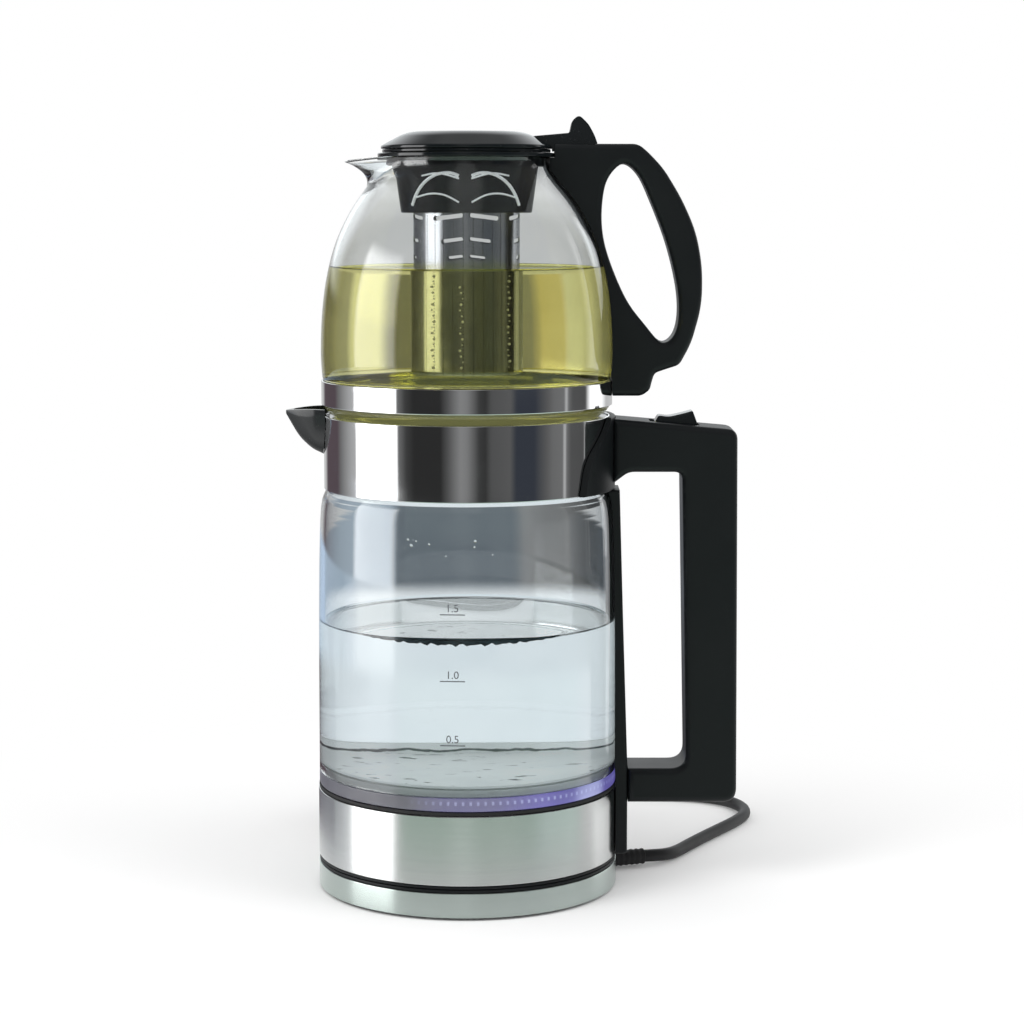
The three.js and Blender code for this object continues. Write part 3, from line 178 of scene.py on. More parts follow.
class Finish(Net):
    """A material made of nodes. The wires of its surface feed one Principled shader."""

    def __init__(self, name, **values):
        self.material = bpy.data.materials.new(name)
        self.material.use_nodes = True
        super().__init__(self.material.node_tree)
        self.shader = self.tree.nodes["Principled BSDF"]
        self.place = self.wire("Object", "ShaderNodeTexCoord")
        self.set(**values)

    def set(self, **values):
        for key, value in values.items():
            connect(self.tree, self.shader.inputs[key.replace("_", " ")], value)
        return self

    def vary(self, noise, first, second, rough, spread):
        """A colour and a roughness that wander together with a noise."""
        return self.set(Base_Color=self.mix(noise, first, second), Roughness=rough + noise * spread)

    def axes(self):
        return self.split(self.place)

    def turn(self):
        """The angle about the axis, in radians, 0 towards the handles."""
        x, y, _ = self.axes()
        return y.math("ARCTAN2", x)

    def stretched(self, x, y, z):
        return self.wire(0, "ShaderNodeVectorMath", {"operation": "MULTIPLY"},
                         {0: self.place, 1: (x, y, z)})

    def grain(self, scale, detail=2.0, place=None):
        return self.wire("Fac", "ShaderNodeTexNoise", None,
                         {"Vector": place or self.place, "Scale": scale, "Detail": detail})

    def bump(self, height, strength, distance):
        sockets = {"Height": height, "Strength": strength, "Distance": distance}
        return self.set(Normal=self.wire("Normal", "ShaderNodeBump", None, sockets))


# Finishes
def brushed_steel(name, dark, light):
    f = Finish(name, Metallic=1.0, Anisotropic=0.92, Anisotropic_Rotation=0.25)
    lines = f.grain(1.0, 3, f.stretched(6, 6, 9000))
    broad = f.grain(1.0, 2, f.stretched(4, 4, 700))
    smudge = f.grain(22, 3)
    f.set(Base_Color=f.mix(broad * 0.6 + lines * 0.4, dark, light),
          Roughness=0.17 + lines * 0.08 + smudge * 0.05)
    return f.bump(lines + broad, 0.12, 0.00006)


def polished_steel():
    f = Finish("polished_steel", Metallic=1.0)
    smudge = f.grain(35, 4)
    f.set(Base_Color=f.mix(smudge, (0.74, 0.75, 0.76), (0.8, 0.81, 0.82)),
          Roughness=0.035 + smudge.rise(0.45, 0.75) * 0.07)
    return f.bump(f.grain(9, 1), 0.15, 0.0008)


def pressed_steel():
    """Sheet steel with a grid of fine holes."""
    f = Finish("pressed_steel", Metallic=1.0)
    smudge = f.grain(60, 3)
    columns = (f.turn() * 34).math("SINE").rise(0.93, 0.97)
    rows = (f.axes()[2] * 4200).math("SINE").rise(0.1, 0.4)
    holes = columns * rows
    sheet = f.mix(smudge, (0.66, 0.67, 0.7), (0.78, 0.79, 0.81))
    f.set(Base_Color=f.mix(holes, sheet, (0.04, 0.04, 0.05)), Roughness=0.12 + smudge * 0.1)
    return f.bump(1 - holes, 0.3, 0.0002)


def matt_steel():
    """Steel with a painted glow that stands in for the light of the ring below it, and a wavy line of
    painted shade where a floor turns up into its rim.
    """
    f = Finish("matt_steel", Metallic=0.2, Emission_Strength=1.0)
    smudge, wave = f.grain(40, 4), f.grain(130, 3)
    z = f.axes()[2]
    # A wavy line of painted shade in the crease where the floor turns up into its rim
    edge = z + (wave - 0.5) * 0.0035
    line = edge.rise(0.0603, 0.0606) * (1 - edge.rise(0.0613, 0.0618)) * (1 - z.rise(0.1, 0.2))
    steel = f.mix(smudge, (0.74, 0.77, 0.77), (0.88, 0.9, 0.9))
    # A painted glow: an emission that stands in for light falling on the steel
    glow = f.mix(smudge, (0.12, 0.135, 0.14), (0.32, 0.34, 0.345))
    f.set(Base_Color=f.mix(line, steel, (0.15, 0.18, 0.19)), Roughness=0.35 + smudge * 0.2,
          Emission_Color=f.mix(line, glow, 0.0))
    return f.bump(f.grain(300, 2), 0.1, 0.0001)


def black_gloss():
    f = Finish("black_gloss", Specular_IOR_Level=0.4)
    smudge, dust = f.grain(40, 4), f.grain(900, 1)
    f.set(Base_Color=f.mix(dust.rise(0.7, 0.8), (0.006, 0.008, 0.009), (0.02, 0.022, 0.024)),
          Roughness=0.08 + smudge.rise(0.4, 0.75) * 0.12)
    return f.bump(f.grain(160, 2), 0.05, 0.00015)


def black_satin():
    f = Finish("black_satin", Specular_IOR_Level=0.22)
    f.vary(f.grain(30, 4), (0.005, 0.0065, 0.0075), (0.009, 0.0105, 0.0115), 0.34, 0.16)
    return f.bump(f.grain(2600, 1), 0.12, 0.00008)


def soft_rubber():
    f = Finish("soft_rubber", Specular_IOR_Level=0.35)
    f.vary(f.grain(60, 4), (0.011, 0.011, 0.012), (0.024, 0.024, 0.025), 0.55, 0.2)
    return f.bump(f.grain(1500, 2), 0.15, 0.0001)


def clear_glass(name, tint, depth_tint, foot=0):
    """Glass with faint smudges. Below the level of its foot it is thick and scatters the light, and a faint
    painted glow lightens it there.
    """
    f = Finish(name, Transmission_Weight=1.0, IOR=1.47, Emission_Strength=1.0)
    smudge = f.grain(26, 4)
    thick = 1 - f.axes()[2].rise(foot - 0.001, foot + 0.0005)
    # Below the foot's level the glass is rougher and carries a painted glow
    f.set(Base_Color=f.mix(smudge.rise(0.35, 0.8), tint, depth_tint),
          Roughness=smudge.rise(0.62, 0.85) * 0.04 + thick * 0.12,
          Emission_Color=f.mix(thick, 0.0, (0.035, 0.037, 0.025)))
    return f.bump(f.grain(11, 1), 0.08, 0.0006)


def clear_water():
    f = Finish("clear_water", Transmission_Weight=1.0, IOR=1.333)
    return f.vary(f.grain(18, 2), (0.93, 0.965, 0.985), (0.965, 0.985, 0.99), 0, 0.01)


# A dark, half-clear finish that paints the shade at the water's edge
def water_edge_shade():
    f = Finish("water_edge_shade", Transmission_Weight=0.35, IOR=1.333)
    return f.vary(f.grain(160, 3), (0.03, 0.06, 0.07), (0.09, 0.14, 0.15), 0.05, 0.1)


# A pale, unlit-looking finish for small balls that paint glints of light
def painted_glints():
    f = Finish("painted_glints", IOR=1.3)
    return f.vary(f.grain(400, 2), (0.8, 0.82, 0.78), (0.95, 0.96, 0.92), 0.1, 0.2)


def brewed_tea():
    """Tea that bends the light so little that the filter in it keeps its width."""
    f = Finish("brewed_tea", Transmission_Weight=1.0, IOR=1.06)
    cloud = f.grain(24, 3, f.stretched(1, 1, 0.3))
    return f.vary(cloud, (0.66, 0.61, 0.19), (0.86, 0.83, 0.42), 0, 0.01)


def violet_diffuser():
    """Clear plastic with a row of lamps: grey on the left, violet in front, brighter on the right, where a
    painted highlight spot sits.
    """
    f = Finish("violet_diffuser", Transmission_Weight=0.6, IOR=1.45, Emission_Strength=1.0)
    z, turn, cloud = f.axes()[2], f.turn(), f.grain(60, 3)
    row = z.rise(0.0562, 0.0568) * (1 - z.rise(0.0578, 0.0584))
    dots = (turn * 130).math("SINE").rise(0.1, 0.9) * row
    front = (turn + 1.35).math("COSINE").rise(0.8, 0.98)
    side = (turn + 0.45).math("COSINE").rise(0.55, 1.0)
    # A painted highlight spot on the ring's right front
    spot = (turn + 0.6).math("COSINE").rise(0.98, 1.0)
    violet = (front * 0.35 + side * (0.5 + cloud * 0.5)).clamp()
    lamp_dots_and_highlight = (dots * (front + side) * 0.5 + spot * (0.3 + cloud * 0.7)).clamp()
    grey = f.mix(cloud, (0.22, 0.22, 0.23), (0.42, 0.42, 0.44))
    glow = f.mix(violet, (0, 0, 0.01), (0.08, 0.066, 0.27))
    return f.set(Base_Color=f.mix(side * 0.8, grey, (0.07, 0.07, 0.13)), Roughness=0.2 + cloud * 0.25,
                 Emission_Color=f.mix(lamp_dots_and_highlight, glow, (0.3, 0.33, 0.52)))


def clear_silicone():
    f = Finish("clear_silicone", Transmission_Weight=0.5, IOR=1.41)
    return f.vary(f.grain(50, 3), (0.72, 0.76, 0.76), (0.85, 0.88, 0.88), 0.35, 0.2)


def metal(name, dark, light, roughness):
    f = Finish(name, Metallic=1.0)
    f.vary(f.grain(120, 4), dark, light, roughness, 0.15)
    return f.bump(f.grain(900, 2), 0.1, 0.00005)


def inner_moulding():
    f = Finish("inner_moulding")
    f.vary(f.grain(80, 3), (0.66, 0.66, 0.61), (0.78, 0.78, 0.73), 0.5, 0.15)
    return f.bump(f.grain(1200, 1), 0.1, 0.00008)


def cord_skin():
    f = Finish("cord_skin", Specular_IOR_Level=0.4)
    f.vary(f.grain(50, 4), (0.009, 0.009, 0.01), (0.02, 0.02, 0.021), 0.42, 0.2)
    return f.bump(f.grain(900, 2), 0.12, 0.0001)


def printed_ink():
    f = Finish("printed_ink")
    return f.vary(f.grain(700, 3), (0.05, 0.06, 0.07), (0.14, 0.15, 0.16), 0.4, 0.2)


STEEL = brushed_steel("brushed_steel", (0.64, 0.655, 0.65), (0.74, 0.755, 0.75))
BASE_STEEL = brushed_steel("brushed_base_steel", (0.5, 0.57, 0.54), (0.6, 0.67, 0.64))
CHROME, PRESSED, PLATE = polished_steel(), pressed_steel(), matt_steel()
GLOSS, SATIN, RUBBER = black_gloss(), black_satin(), soft_rubber()
JAR = clear_glass("kettle_glass_clear", (0.955, 0.975, 0.98), (0.9, 0.93, 0.94))
POT = clear_glass("teapot_glass_clear", (0.97, 0.985, 0.985), (0.93, 0.955, 0.955), 0.2425)
WATER, EDGE_SHADE, TEA, GLINTS = clear_water(), water_edge_shade(), brewed_tea(), painted_glints()
GLOW, SILICONE = violet_diffuser(), clear_silicone()
BRASS = metal("contact_brass", (0.5, 0.36, 0.13), (0.72, 0.55, 0.25), 0.25)
ALUMINIUM = metal("bare_aluminium", (0.5, 0.51, 0.53), (0.66, 0.67, 0.69), 0.35)
MOULDING, INK = inner_moulding(), printed_ink()
SLOTS = {
    "brushed_steel": STEEL, "polished_steel": CHROME, "black_gloss": GLOSS, "black_satin": SATIN,
    "clear_glass": JAR, "violet_diffuser": GLOW, "soft_rubber": RUBBER, "clear_silicone": SILICONE,
    "contact_brass": BRASS, "bare_aluminium": ALUMINIUM, "inner_moulding": MOULDING,
}
for part in frame["record"]["subparts"]:
    node = frame["nodes"][part["node"]]
    node.data.materials.clear()
    node.data.materials.append(SLOTS[part["material_slot"]].material)


# Shapes
def rounded(corners, closed=True, bends=4):
    """A profile through corners (radius, level, rounding) with its corners rounded."""
    line = []
    count = len(corners)
    for i, (x, y, *rounding) in enumerate(corners):
        here = Vector((x, y))
        if not rounding or (not closed and i in (0, count - 1)):
            line.append(here)
            continue
        before, after = Vector(corners[i - 1][:2]) - here, Vector(corners[(i + 1) % count][:2]) - here
        size = min(rounding[0], before.length * 0.45, after.length * 0.45)
        start, end = here + before.normalized() * size, here + after.normalized() * size
        for k in range(bends + 1):
            t = k / bends
            line.append(start * (1 - t) ** 2 + here * 2 * t * (1 - t) + end * t * t)
    return line


def flowing(points, steps=6, closed=False):
    """A smooth line through the points, with steps pieces between each two."""
    points = [Vector(p) for p in points]
    count = len(points)
    line = []
    for i in range(count if closed else count - 1):
        a, b, c, d = (points[(i + k) % count] if closed else points[min(max(i + k, 0), count - 1)]
                      for k in (-1, 0, 1, 2))
        for k in range(steps):
            t = k / steps
            line.append(0.5 * (2 * b + (c - a) * t + (2 * a - 5 * b + 4 * c - d) * t * t
                               + (3 * b - a - 3 * c + d) * t ** 3))
    return line if closed else line + [points[-1]]


def turned(profile, steps=STEPS, shape=None):
    """A mesh turned about the Z axis. A profile off the axis is closed on itself."""
    work = bmesh.new()
    rings = []
    for x, z in profile:
        if x < 1e-6:
            rings.append([work.verts.new((0, 0, z))] * steps)
        else:
            rings.append([work.verts.new((x * math.cos(TAU * k / steps), x * math.sin(TAU * k / steps), z))
                          for k in range(steps)])
    on_axis = profile[0][0] < 1e-6 and profile[-1][0] < 1e-6
    for i in range(len(rings) - 1 if on_axis else len(rings)):
        low, high = rings[i], rings[(i + 1) % len(rings)]
        for k in range(steps):
            corners = [low[k], low[(k + 1) % steps], high[(k + 1) % steps], high[k]]
            corners = list(dict.fromkeys(corners))
            if len(corners) > 2:
                work.faces.new(corners)
    if shape:
        for vert in work.verts:
            vert.co = shape(vert.co)
    bmesh.ops.recalc_face_normals(work, faces=work.faces)
    mesh = bpy.data.meshes.new("turned")
    work.to_mesh(mesh)
    work.free()
    return mesh


def lofted(sections):
    """A mesh over rings of points, closed at both ends."""
    work = bmesh.new()
    rings = [[work.verts.new(point) for point in section] for section in sections]
    count = len(rings[0])
    for low, high in zip(rings, rings[1:]):
        for k in range(count):
            work.faces.new([low[k], low[(k + 1) % count], high[(k + 1) % count], high[k]])
    work.faces.new(rings[0])
    work.faces.new(rings[-1])
    bmesh.ops.recalc_face_normals(work, faces=work.faces)
    mesh = bpy.data.meshes.new("lofted")
    work.to_mesh(mesh)
    work.free()
    return mesh


def slab(outlines, width, edge, bends=4):
    """A mesh with these outlines in the XZ plane, centred on y = 0, with rounded edges."""
    curve = bpy.data.curves.new("slab", "CURVE")
    curve.dimensions, curve.fill_mode = "2D", "BOTH"
    curve.extrude, curve.bevel_depth, curve.bevel_resolution = width / 2 - edge, edge, bends
    curve.offset = -edge
    for line in outlines:
        spline = curve.splines.new("POLY")
        spline.points.add(len(line) - 1)
        for point, (x, z) in zip(spline.points, line):
            point.co = (x, z, 0, 1)
        spline.use_cyclic_u = True
    holder = bpy.data.objects.new("slab", curve)
    mesh = bpy.data.meshes.new_from_object(holder)
    bpy.data.objects.remove(holder)
    work = bmesh.new()
    work.from_mesh(mesh)
    bmesh.ops.remove_doubles(work, verts=work.verts, dist=1e-6)
    bmesh.ops.recalc_face_normals(work, faces=work.faces)
    work.to_mesh(mesh)
    work.free()
    mesh.transform(Matrix.Rotation(math.pi / 2, 4, "X"))
    return mesh


def along(start, end, share):
    return start + (end - start) * share


def brick(low, high):
    """A plain block between two corners, for cutting."""
    work = bmesh.new()
    bmesh.ops.create_cube(work, size=1)
    low, high = Vector(low), Vector(high)
    for vert in work.verts:
        vert.co = Vector(a + (b - a) * (c + 0.5) for a, b, c in zip(low, high, vert.co))
    mesh = bpy.data.meshes.new("brick")
    work.to_mesh(mesh)
    work.free()
    return mesh


def boolean(mesh, tool, operation="DIFFERENCE"):
    """The mesh with the tool cut away, joined or kept in common."""
    scene = bpy.context.scene
    body, cutter = bpy.data.objects.new("body", mesh), bpy.data.objects.new("cutter", tool)
    for item in (body, cutter):
        scene.collection.objects.link(item)
    step = body.modifiers.new("step", "BOOLEAN")
    step.object, step.operation, step.solver = cutter, operation, "EXACT"
    bpy.context.view_layer.update()
    result = bpy.data.meshes.new_from_object(body.evaluated_get(bpy.context.evaluated_depsgraph_get()))
    for item in (body, cutter):
        bpy.data.objects.remove(item)
    return result


def joined(*meshes):
    """Several meshes as one, side by side."""
    work = bmesh.new()
    for mesh in meshes:
        work.from_mesh(mesh)
    result = bpy.data.meshes.new("joined")
    work.to_mesh(result)
    work.free()
    return result


def place(name, mesh, finish, body, slot, *nodes, crease=32):
    """Adds one piece of the object, which may stand for nodes of the frame."""
    mesh.materials.clear()
    mesh.materials.append(finish.material)
    mesh.transform(Matrix.Scale(MM, 4))
    mesh.shade_smooth()
    mesh.set_sharp_from_angle(angle=math.radians(crease))
    piece = bpy.data.objects.new(name, mesh)
    bpy.context.scene.collection.objects.link(piece)
    piece.modifiers.new("even", "WEIGHTED_NORMAL").keep_sharp = True
    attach(piece, body)
    if nodes:
        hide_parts(*nodes)
    return piece


def pipe(path, radius, sides=16, swell=lambda i: 1.0):
    """A mesh round a path, with its ends closed."""
    rings = []
    side = Vector((0, 0, 1)).cross(path[1] - path[0]).normalized()
    for i, point in enumerate(path):
        ahead = (path[min(i + 1, len(path) - 1)] - path[max(i - 1, 0)]).normalized()
        side = (side - ahead * side.dot(ahead)).normalized()
        up = ahead.cross(side)
        reach = radius * swell(i)
        rings.append([point + (side * math.cos(TAU * k / sides) + up * math.sin(TAU * k / sides)) * reach
                      for k in range(sides)])
    return lofted(rings)


def cylinder(start, end, radius):
    return pipe([Vector(start), Vector(end)], radius, 24)


def pin_hole(axis, reach):
    """A drill through the place of a pin that lies along Y."""
    x, z = axis
    return cylinder((x, -reach, z), (x, reach, z), HOLE_RADIUS)


def screw_hole(low, high, radius=HOLE_RADIUS):
    """A drill for the upright screw that holds the teapot's handle to its band."""
    return cylinder((BAND_SCREW_X, 0, low), (BAND_SCREW_X, 0, high), radius)


def ball(size, bends, steps):
    arc = [math.pi * k / bends for k in range(bends + 1)]
    return turned([(size * math.sin(a), size * math.cos(a)) for a in arc], steps)


# The cord's route, in metres, as in the model
cord_route = [
    (0.0909, 0.0295, 0.0052), (0.0956, 0.0311, 0.0051), (0.1012, 0.0346, 0.0046), (0.1062, 0.0406, 0.004),
    (0.1106, 0.049, 0.0035), (0.1171, 0.0615, 0.0034), (0.125, 0.076, 0.0034), (0.1355, 0.094, 0.0034),
    (0.1456, 0.112, 0.0034), (0.1516, 0.127, 0.0034), (0.1522, 0.1425, 0.0034), (0.146, 0.1575, 0.0034),
    (0.134, 0.1676, 0.0034), (0.117, 0.1736, 0.0034), (0.096, 0.1776, 0.0034), (0.074, 0.1822, 0.0035),
    (0.052, 0.1864, 0.0039), (0.035, 0.1883, 0.0042), (0.0271, 0.1885, 0.0042)]
tail_route = [
    (0.0129, 0.18485, 0.0115), (0.002, 0.185, 0.0116), (-0.01, 0.1854, 0.0122), (-0.022, 0.1852, 0.0134),
    (-0.033, 0.1826, 0.015), (-0.0418, 0.177, 0.0166), (-0.0474, 0.1688, 0.018), (-0.0498, 0.161, 0.0186),
    (-0.05, 0.1583, 0.0186)]
CORD_RADIUS = 0.0032
COIL_CENTRE, COIL_RADIUS, COIL_HEIGHT, COIL_PITCH = (0.02, 0.15), 0.0385, 0.0042, 0.0073
COIL_TURNS, COIL_STEPS, COIL_REVERSAL = 2, 48, 1.25


def coil_point(turn):
    """The coil spirals in, climbs a layer in the half turn where it reverses, and spirals out."""
    angle = math.pi / 2 + turn * TAU
    radius = COIL_RADIUS - COIL_PITCH * (min(turn, COIL_REVERSAL) - max(turn - COIL_REVERSAL, 0))
    climb = min(max((turn - COIL_REVERSAL + 0.25) / 0.5, 0), 1)
    climb = climb * climb * (3 - 2 * climb)
    x, y = COIL_CENTRE
    height = COIL_HEIGHT + climb * COIL_PITCH
    return Vector((x + radius * math.cos(angle), y + radius * math.sin(angle), height))


def cord_path():
    """The route, the coil with a short straight lead at each end, and the tail to the plug."""
    coil = [coil_point(i / COIL_STEPS) for i in range(COIL_TURNS * COIL_STEPS + 1)]
    lead = Vector((0.0034, 0, 0)) * 1.3
    return [*flowing(cord_route[:-1], 5), coil[0] + lead, *coil, coil[-1] - lead,
            *flowing(tail_route[1:], 5)]


route = cord_path()
route_length = sum((b - a).length for a, b in zip(route, route[1:]))
cord_mesh = pipe([point / MM for point in route], CORD_RADIUS / MM)
cord = place("cord", cord_mesh, cord_skin(), "base", "soft_rubber", "mains_cord", "cord_coil", "cord_tail")


# Studio: a pale floor, soft light from all round, and for metal and glass the bands of
# light and dark of a photographer's tent. Directions are unit vectors, so a height is the
# sine of an elevation.
def tent(net, azimuth):
    """The tent's bands round the object, 0.5 towards the camera: its middle, the part below
    it with a broad window, and its foot, which is as pale as the floor."""
    wine, navy, sky = (0.105, 0.08, 0.092), (0.042, 0.048, 0.062), (0.5, 0.62, 0.78)
    sage, pale = (0.567, 0.75, 0.636), (0.76, 0.96, 0.88)
    middle = net.ramp(azimuth, [
        (0.0, 0.6), (0.06, 0.6), (0.085, wine), (0.15, wine), (0.17, 0.2), (0.212, 0.45), (0.226, 0.5),
        (0.2325, 5), (0.335, 5), (0.346, 0.2), (0.3655, 0.06), (0.385, 0.03), (0.445, 0.03),
        (0.4626, 0.105), (0.4893, 0.27), (0.5027, 0.24), (0.529, 0.055), (0.5428, 0.04), (0.556, 0.1),
        (0.5974, 0.118), (0.6115, navy), (0.655, navy), (0.686, 0.12), (0.7026, 0.17), (0.731, 0.19),
        (0.737, 0.6), (0.743, 0.18), (0.756, 0.1), (0.8, 0.09), (0.822, 1.6), (0.86, 1.6), (0.9, 0.6)])
    window = net.ramp(azimuth, [
        (0.0, 0.6), (0.05, sky), (0.19, sky), (0.22, (1.3, 1.4, 1.6)), (0.25, 3.3), (0.335, 3.3),
        (0.348, 0.5), (0.37, 0.1), (0.45, 0.06), (0.49, 0.2), (0.53, 0.05), (0.73, 0.06), (0.8, 0.05),
        (0.83, 0.2), (0.9, 0.6)])
    foot = net.ramp(azimuth, [
        (0.0, 0.35), (0.15, 0.4), (0.19, 0.62), (0.235, 0.95), (0.27, 1.4), (0.32, 1.4), (0.342, 0.75),
        (0.36, sage), (0.64, sage), (0.675, pale), (0.75, pale), (0.79, 1.0), (0.83, 1.2), (0.87, 0.9),
        (0.92, 0.5)])
    return middle, window, foot, wine


def seen_through(net, x, z):
    """What shows through the glass: bands by height, a curtain behind the empty jar and the
    light and dark columns behind the tea."""
    low, dim, haze, gold = (0.87, 0.91, 0.94), (0.145, 0.168, 0.19), (0.33, 0.4, 0.47), (0.68, 0.6, 0.38)
    jar_bottom, jar_top = (-0.154, -0.147), (-0.124, -0.121)
    tea_bottom, tea_top = (-0.085, -0.075), (-0.034, -0.031)
    behind = net.ramp(z + 0.5, [
        (0.34, low), (0.378, 0.62), (0.46, 0.8), (0.478, 0.6), (0.505, 0.58), (0.56, 1.0)])
    curtain = net.ramp(x + 0.5, [
        (0.3, haze), (0.434, haze), (0.4415, dim), (0.509, dim), (0.517, 0.27), (0.532, 0.19),
        (0.549, 0.16), (0.571, 0.11), (0.61, 0.05), (0.8, 0.05)])
    behind = net.mix(z.rise(*jar_bottom) * (1 - z.rise(*jar_top)), behind, curtain)
    shades = net.ramp(x * 2 + 0.5, [
        (0.2, 0.3), (0.29, 0.75), (0.37, 0.8), (0.38, gold), (0.41, gold), (0.422, 0.3), (0.45, 0.3),
        (0.52, 0.2), (0.535, 1.0), (0.59, 1.0), (0.61, 0.45), (0.67, 0.4), (0.72, 0.25)])
    return net.mix(z.rise(*tea_bottom) * (1 - z.rise(*tea_top)), behind, shades)


def studio_world():
    """White to the camera, soft to the matt surfaces, the tent to metal and glass."""
    world = bpy.data.worlds.new("studio")
    world.use_nodes = True
    bpy.context.scene.world = world
    net = Net(world.node_tree)
    x, y, z = net.split(net.wire("Generated", "ShaderNodeTexCoord"))
    azimuth = x.math("ARCTAN2", y * -1) / TAU + 0.5
    rays = net.node("ShaderNodeLightPath").outputs
    camera_ray, through, shine, depth, walls = (
        Wire(net.tree, rays[name]) for name in ("Is Camera Ray", "Is Transmission Ray", "Is Glossy Ray",
                                                "Glossy Depth", "Transmission Depth"))
    wine_top, foot_top, window_top = (-0.262, -0.25), (-0.18, -0.168), (-0.124, -0.118)
    upper_start, roof_start = (0.035, 0.1), (0.34, 0.5)
    middle, window, foot, wine = tent(net, azimuth)
    roof = net.mix(y.rise(0.62, 0.9), 0.16 + (1 - (x * x).rise(0.01, 0.06)) * 0.3, (1.1, 1.12, 1.15))
    upper = net.mix(y.rise(0.5, 0.8), middle, (1.15, 1.2, 1.22))
    foot = net.mix(z.rise(*wine_top) * (azimuth < 0.16), foot, wine)
    glossy = net.mix(z.rise(*window_top), window, middle)
    glossy = net.mix(z.rise(*foot_top), foot, glossy)
    # Light that has passed several walls of glass is dim, and after many it is the floor's
    glossy = net.mix((walls > 3.5) * 0.7, glossy, (0.1, 0.11, 0.12))
    glossy = net.mix((walls > 9) * 0.8, glossy, (0.8, 0.8, 0.76))
    glossy = net.mix(z.rise(*upper_start), glossy, upper)
    glossy = net.mix(z.rise(*roof_start), glossy, roof)
    mirrored = (shine * (1 - through)).math("MAXIMUM", through * (depth > 0.5))
    soft = z.rise(-0.4, 0.9) * 0.35 + 0.62
    level = net.mix(mirrored, net.mix(through, soft, seen_through(net, x, z)), glossy)
    shader = world.node_tree.nodes["Background"]
    connect(net.tree, shader.inputs["Color"], net.mix(camera_ray, level, 1.0))


def floor_finish():
    """Pale near the object, where it takes its shadow, and plain white further off. Metal
    and glass look past its far part into the tent."""
    material = bpy.data.materials.new("floor")
    material.use_nodes = True
    net = Net(material.node_tree)
    net.tree.nodes.clear()
    x, y, _ = net.split(net.wire("Object", "ShaderNodeTexCoord"))
    reach = (x * x + y * y).math("SQRT")
    rays = net.node("ShaderNodeLightPath").outputs
    glossy, through = Wire(net.tree, rays["Is Glossy Ray"]), Wire(net.tree, rays["Is Transmission Ray"])
    white = net.wire(0, "ShaderNodeEmission", None, {"Color": colour(1.0), "Strength": 1.0})
    pale = net.wire(0, "ShaderNodeBsdfDiffuse", None, {"Color": colour(0.93), "Roughness": 0.5})
    clear = net.wire(0, "ShaderNodeBsdfTransparent")
    shown = net.blend(reach.rise(0.13, 0.42), pale, white)
    mixed = net.blend(glossy.math("MAXIMUM", through) * reach.rise(0.1, 0.22), shown, clear)
    net.node("ShaderNodeOutputMaterial", None, {"Surface": mixed})
    return material


def add_floor():
    work = bmesh.new()
    bmesh.ops.create_circle(work, cap_ends=True, segments=96, radius=14)
    mesh = bpy.data.meshes.new("floor")
    work.to_mesh(mesh)
    work.free()
    mesh.materials.append(floor_finish())
    floor = bpy.data.objects.new("floor", mesh)
    bpy.context.scene.collection.objects.link(floor)


def add_lamp(name, spot, size, energy):
    """A round soft lamp that looks at the object and shows in no reflection."""
    data = bpy.data.lights.new(name, "AREA")
    data.shape, data.size, data.energy = "DISK", size, energy
    lamp = bpy.data.objects.new(name, data)
    lamp.location = spot
    lamp.rotation_euler = (Vector((0, 0, 0.2)) - Vector(spot)).to_track_quat("-Z", "Y").to_euler()
    lamp.visible_glossy = False
    lamp.visible_transmission = False
    bpy.context.scene.collection.objects.link(lamp)


studio_world()
add_floor()
add_lamp("key", (-1.5, -1.3, 1.6), 1.2, 16)
add_lamp("fill", (1.4, -0.8, 1.2), 1.2, 7)
bpy.context.scene.view_settings.view_transform = "Standard"
# Enough bounces for light that crosses the walls of glass and the liquids
bpy.context.scene.cycles.max_bounces = 24
bpy.context.scene.cycles.transmission_bounces = 24


# Power base
def on_relief(reach):
    """A point on the line along which the cord leaves the base."""
    return Vector((reach * math.cos(RELIEF_TURN), reach * math.sin(RELIEF_TURN), RELIEF_HEIGHT))


def cord_hole():
    """The two tools that cut the base's wall open round the cord's relief."""
    near, far, half = RIM_RADIUS - 6, RIM_RADIUS + 6, 4.7
    slot = brick((near, -half, -6), (far, half, RELIEF_HEIGHT))
    slot.transform(Matrix.Rotation(RELIEF_TURN, 4, "Z"))
    return pipe([on_relief(near), on_relief(far)], half, 24), slot


def make_base():
    band = turned(rounded([
        (74.2, 1.5), (RIM_RADIUS, 1.5, 0.5), (RIM_RADIUS, 13.5, 0.4), (74.2, 13.5)]))
    for tool in cord_hole():
        band = boolean(band, tool)
    place("base_sleeve", band, BASE_STEEL, "base", "brushed_steel", "base_band")
    cover = turned(rounded([
        (16.8, 12.7), (73.9, 12.7), (73.9, 13.8), (74.7, 13.8, 0.3), (74.7, 15.2, 0.5),
        (69.9, 15.2, 0.4), (69.1, 14.4, 0.4), (24.8, 14.4, 0.4), (24, 15.2, 0.4), (16.8, 15.2)]))
    place("base_top", cover, SATIN, "base", "black_satin", "base_cover")
    post = turned(rounded([
        (0, 3.8), (20, 3.8), (20, 6.5, 0.5), (16.5, 6.5, 0.5), (16.5, 26, 1.2), (13.6, 26, 0.3),
        (13.6, 12), (11.4, 12), (11.4, 26, 0.3), (9.8, 26, 0.3), (9.8, 12), (5, 12), (5, 26, 0.5),
        (3.2, 26, 0.5), (3.2, 12), (0, 12)], False), 96)
    place("connector", post, SATIN, "base", "black_satin", "connector_post")
    for i in range(4):
        angle = (i + 0.5) * TAU / 4
        foot = turned(rounded([(0, 0), (5.2, 0, 0.3), (6, 0.9, 0.3), (6, 1.2), (0, 1.2)], False), 48)
        foot.transform(Matrix.Translation((62 * math.cos(angle), 62 * math.sin(angle), 0)))
        place("pad_" + str(i + 1), foot, RUBBER, "base", "soft_rubber", "rubber_foot_" + str(i + 1))


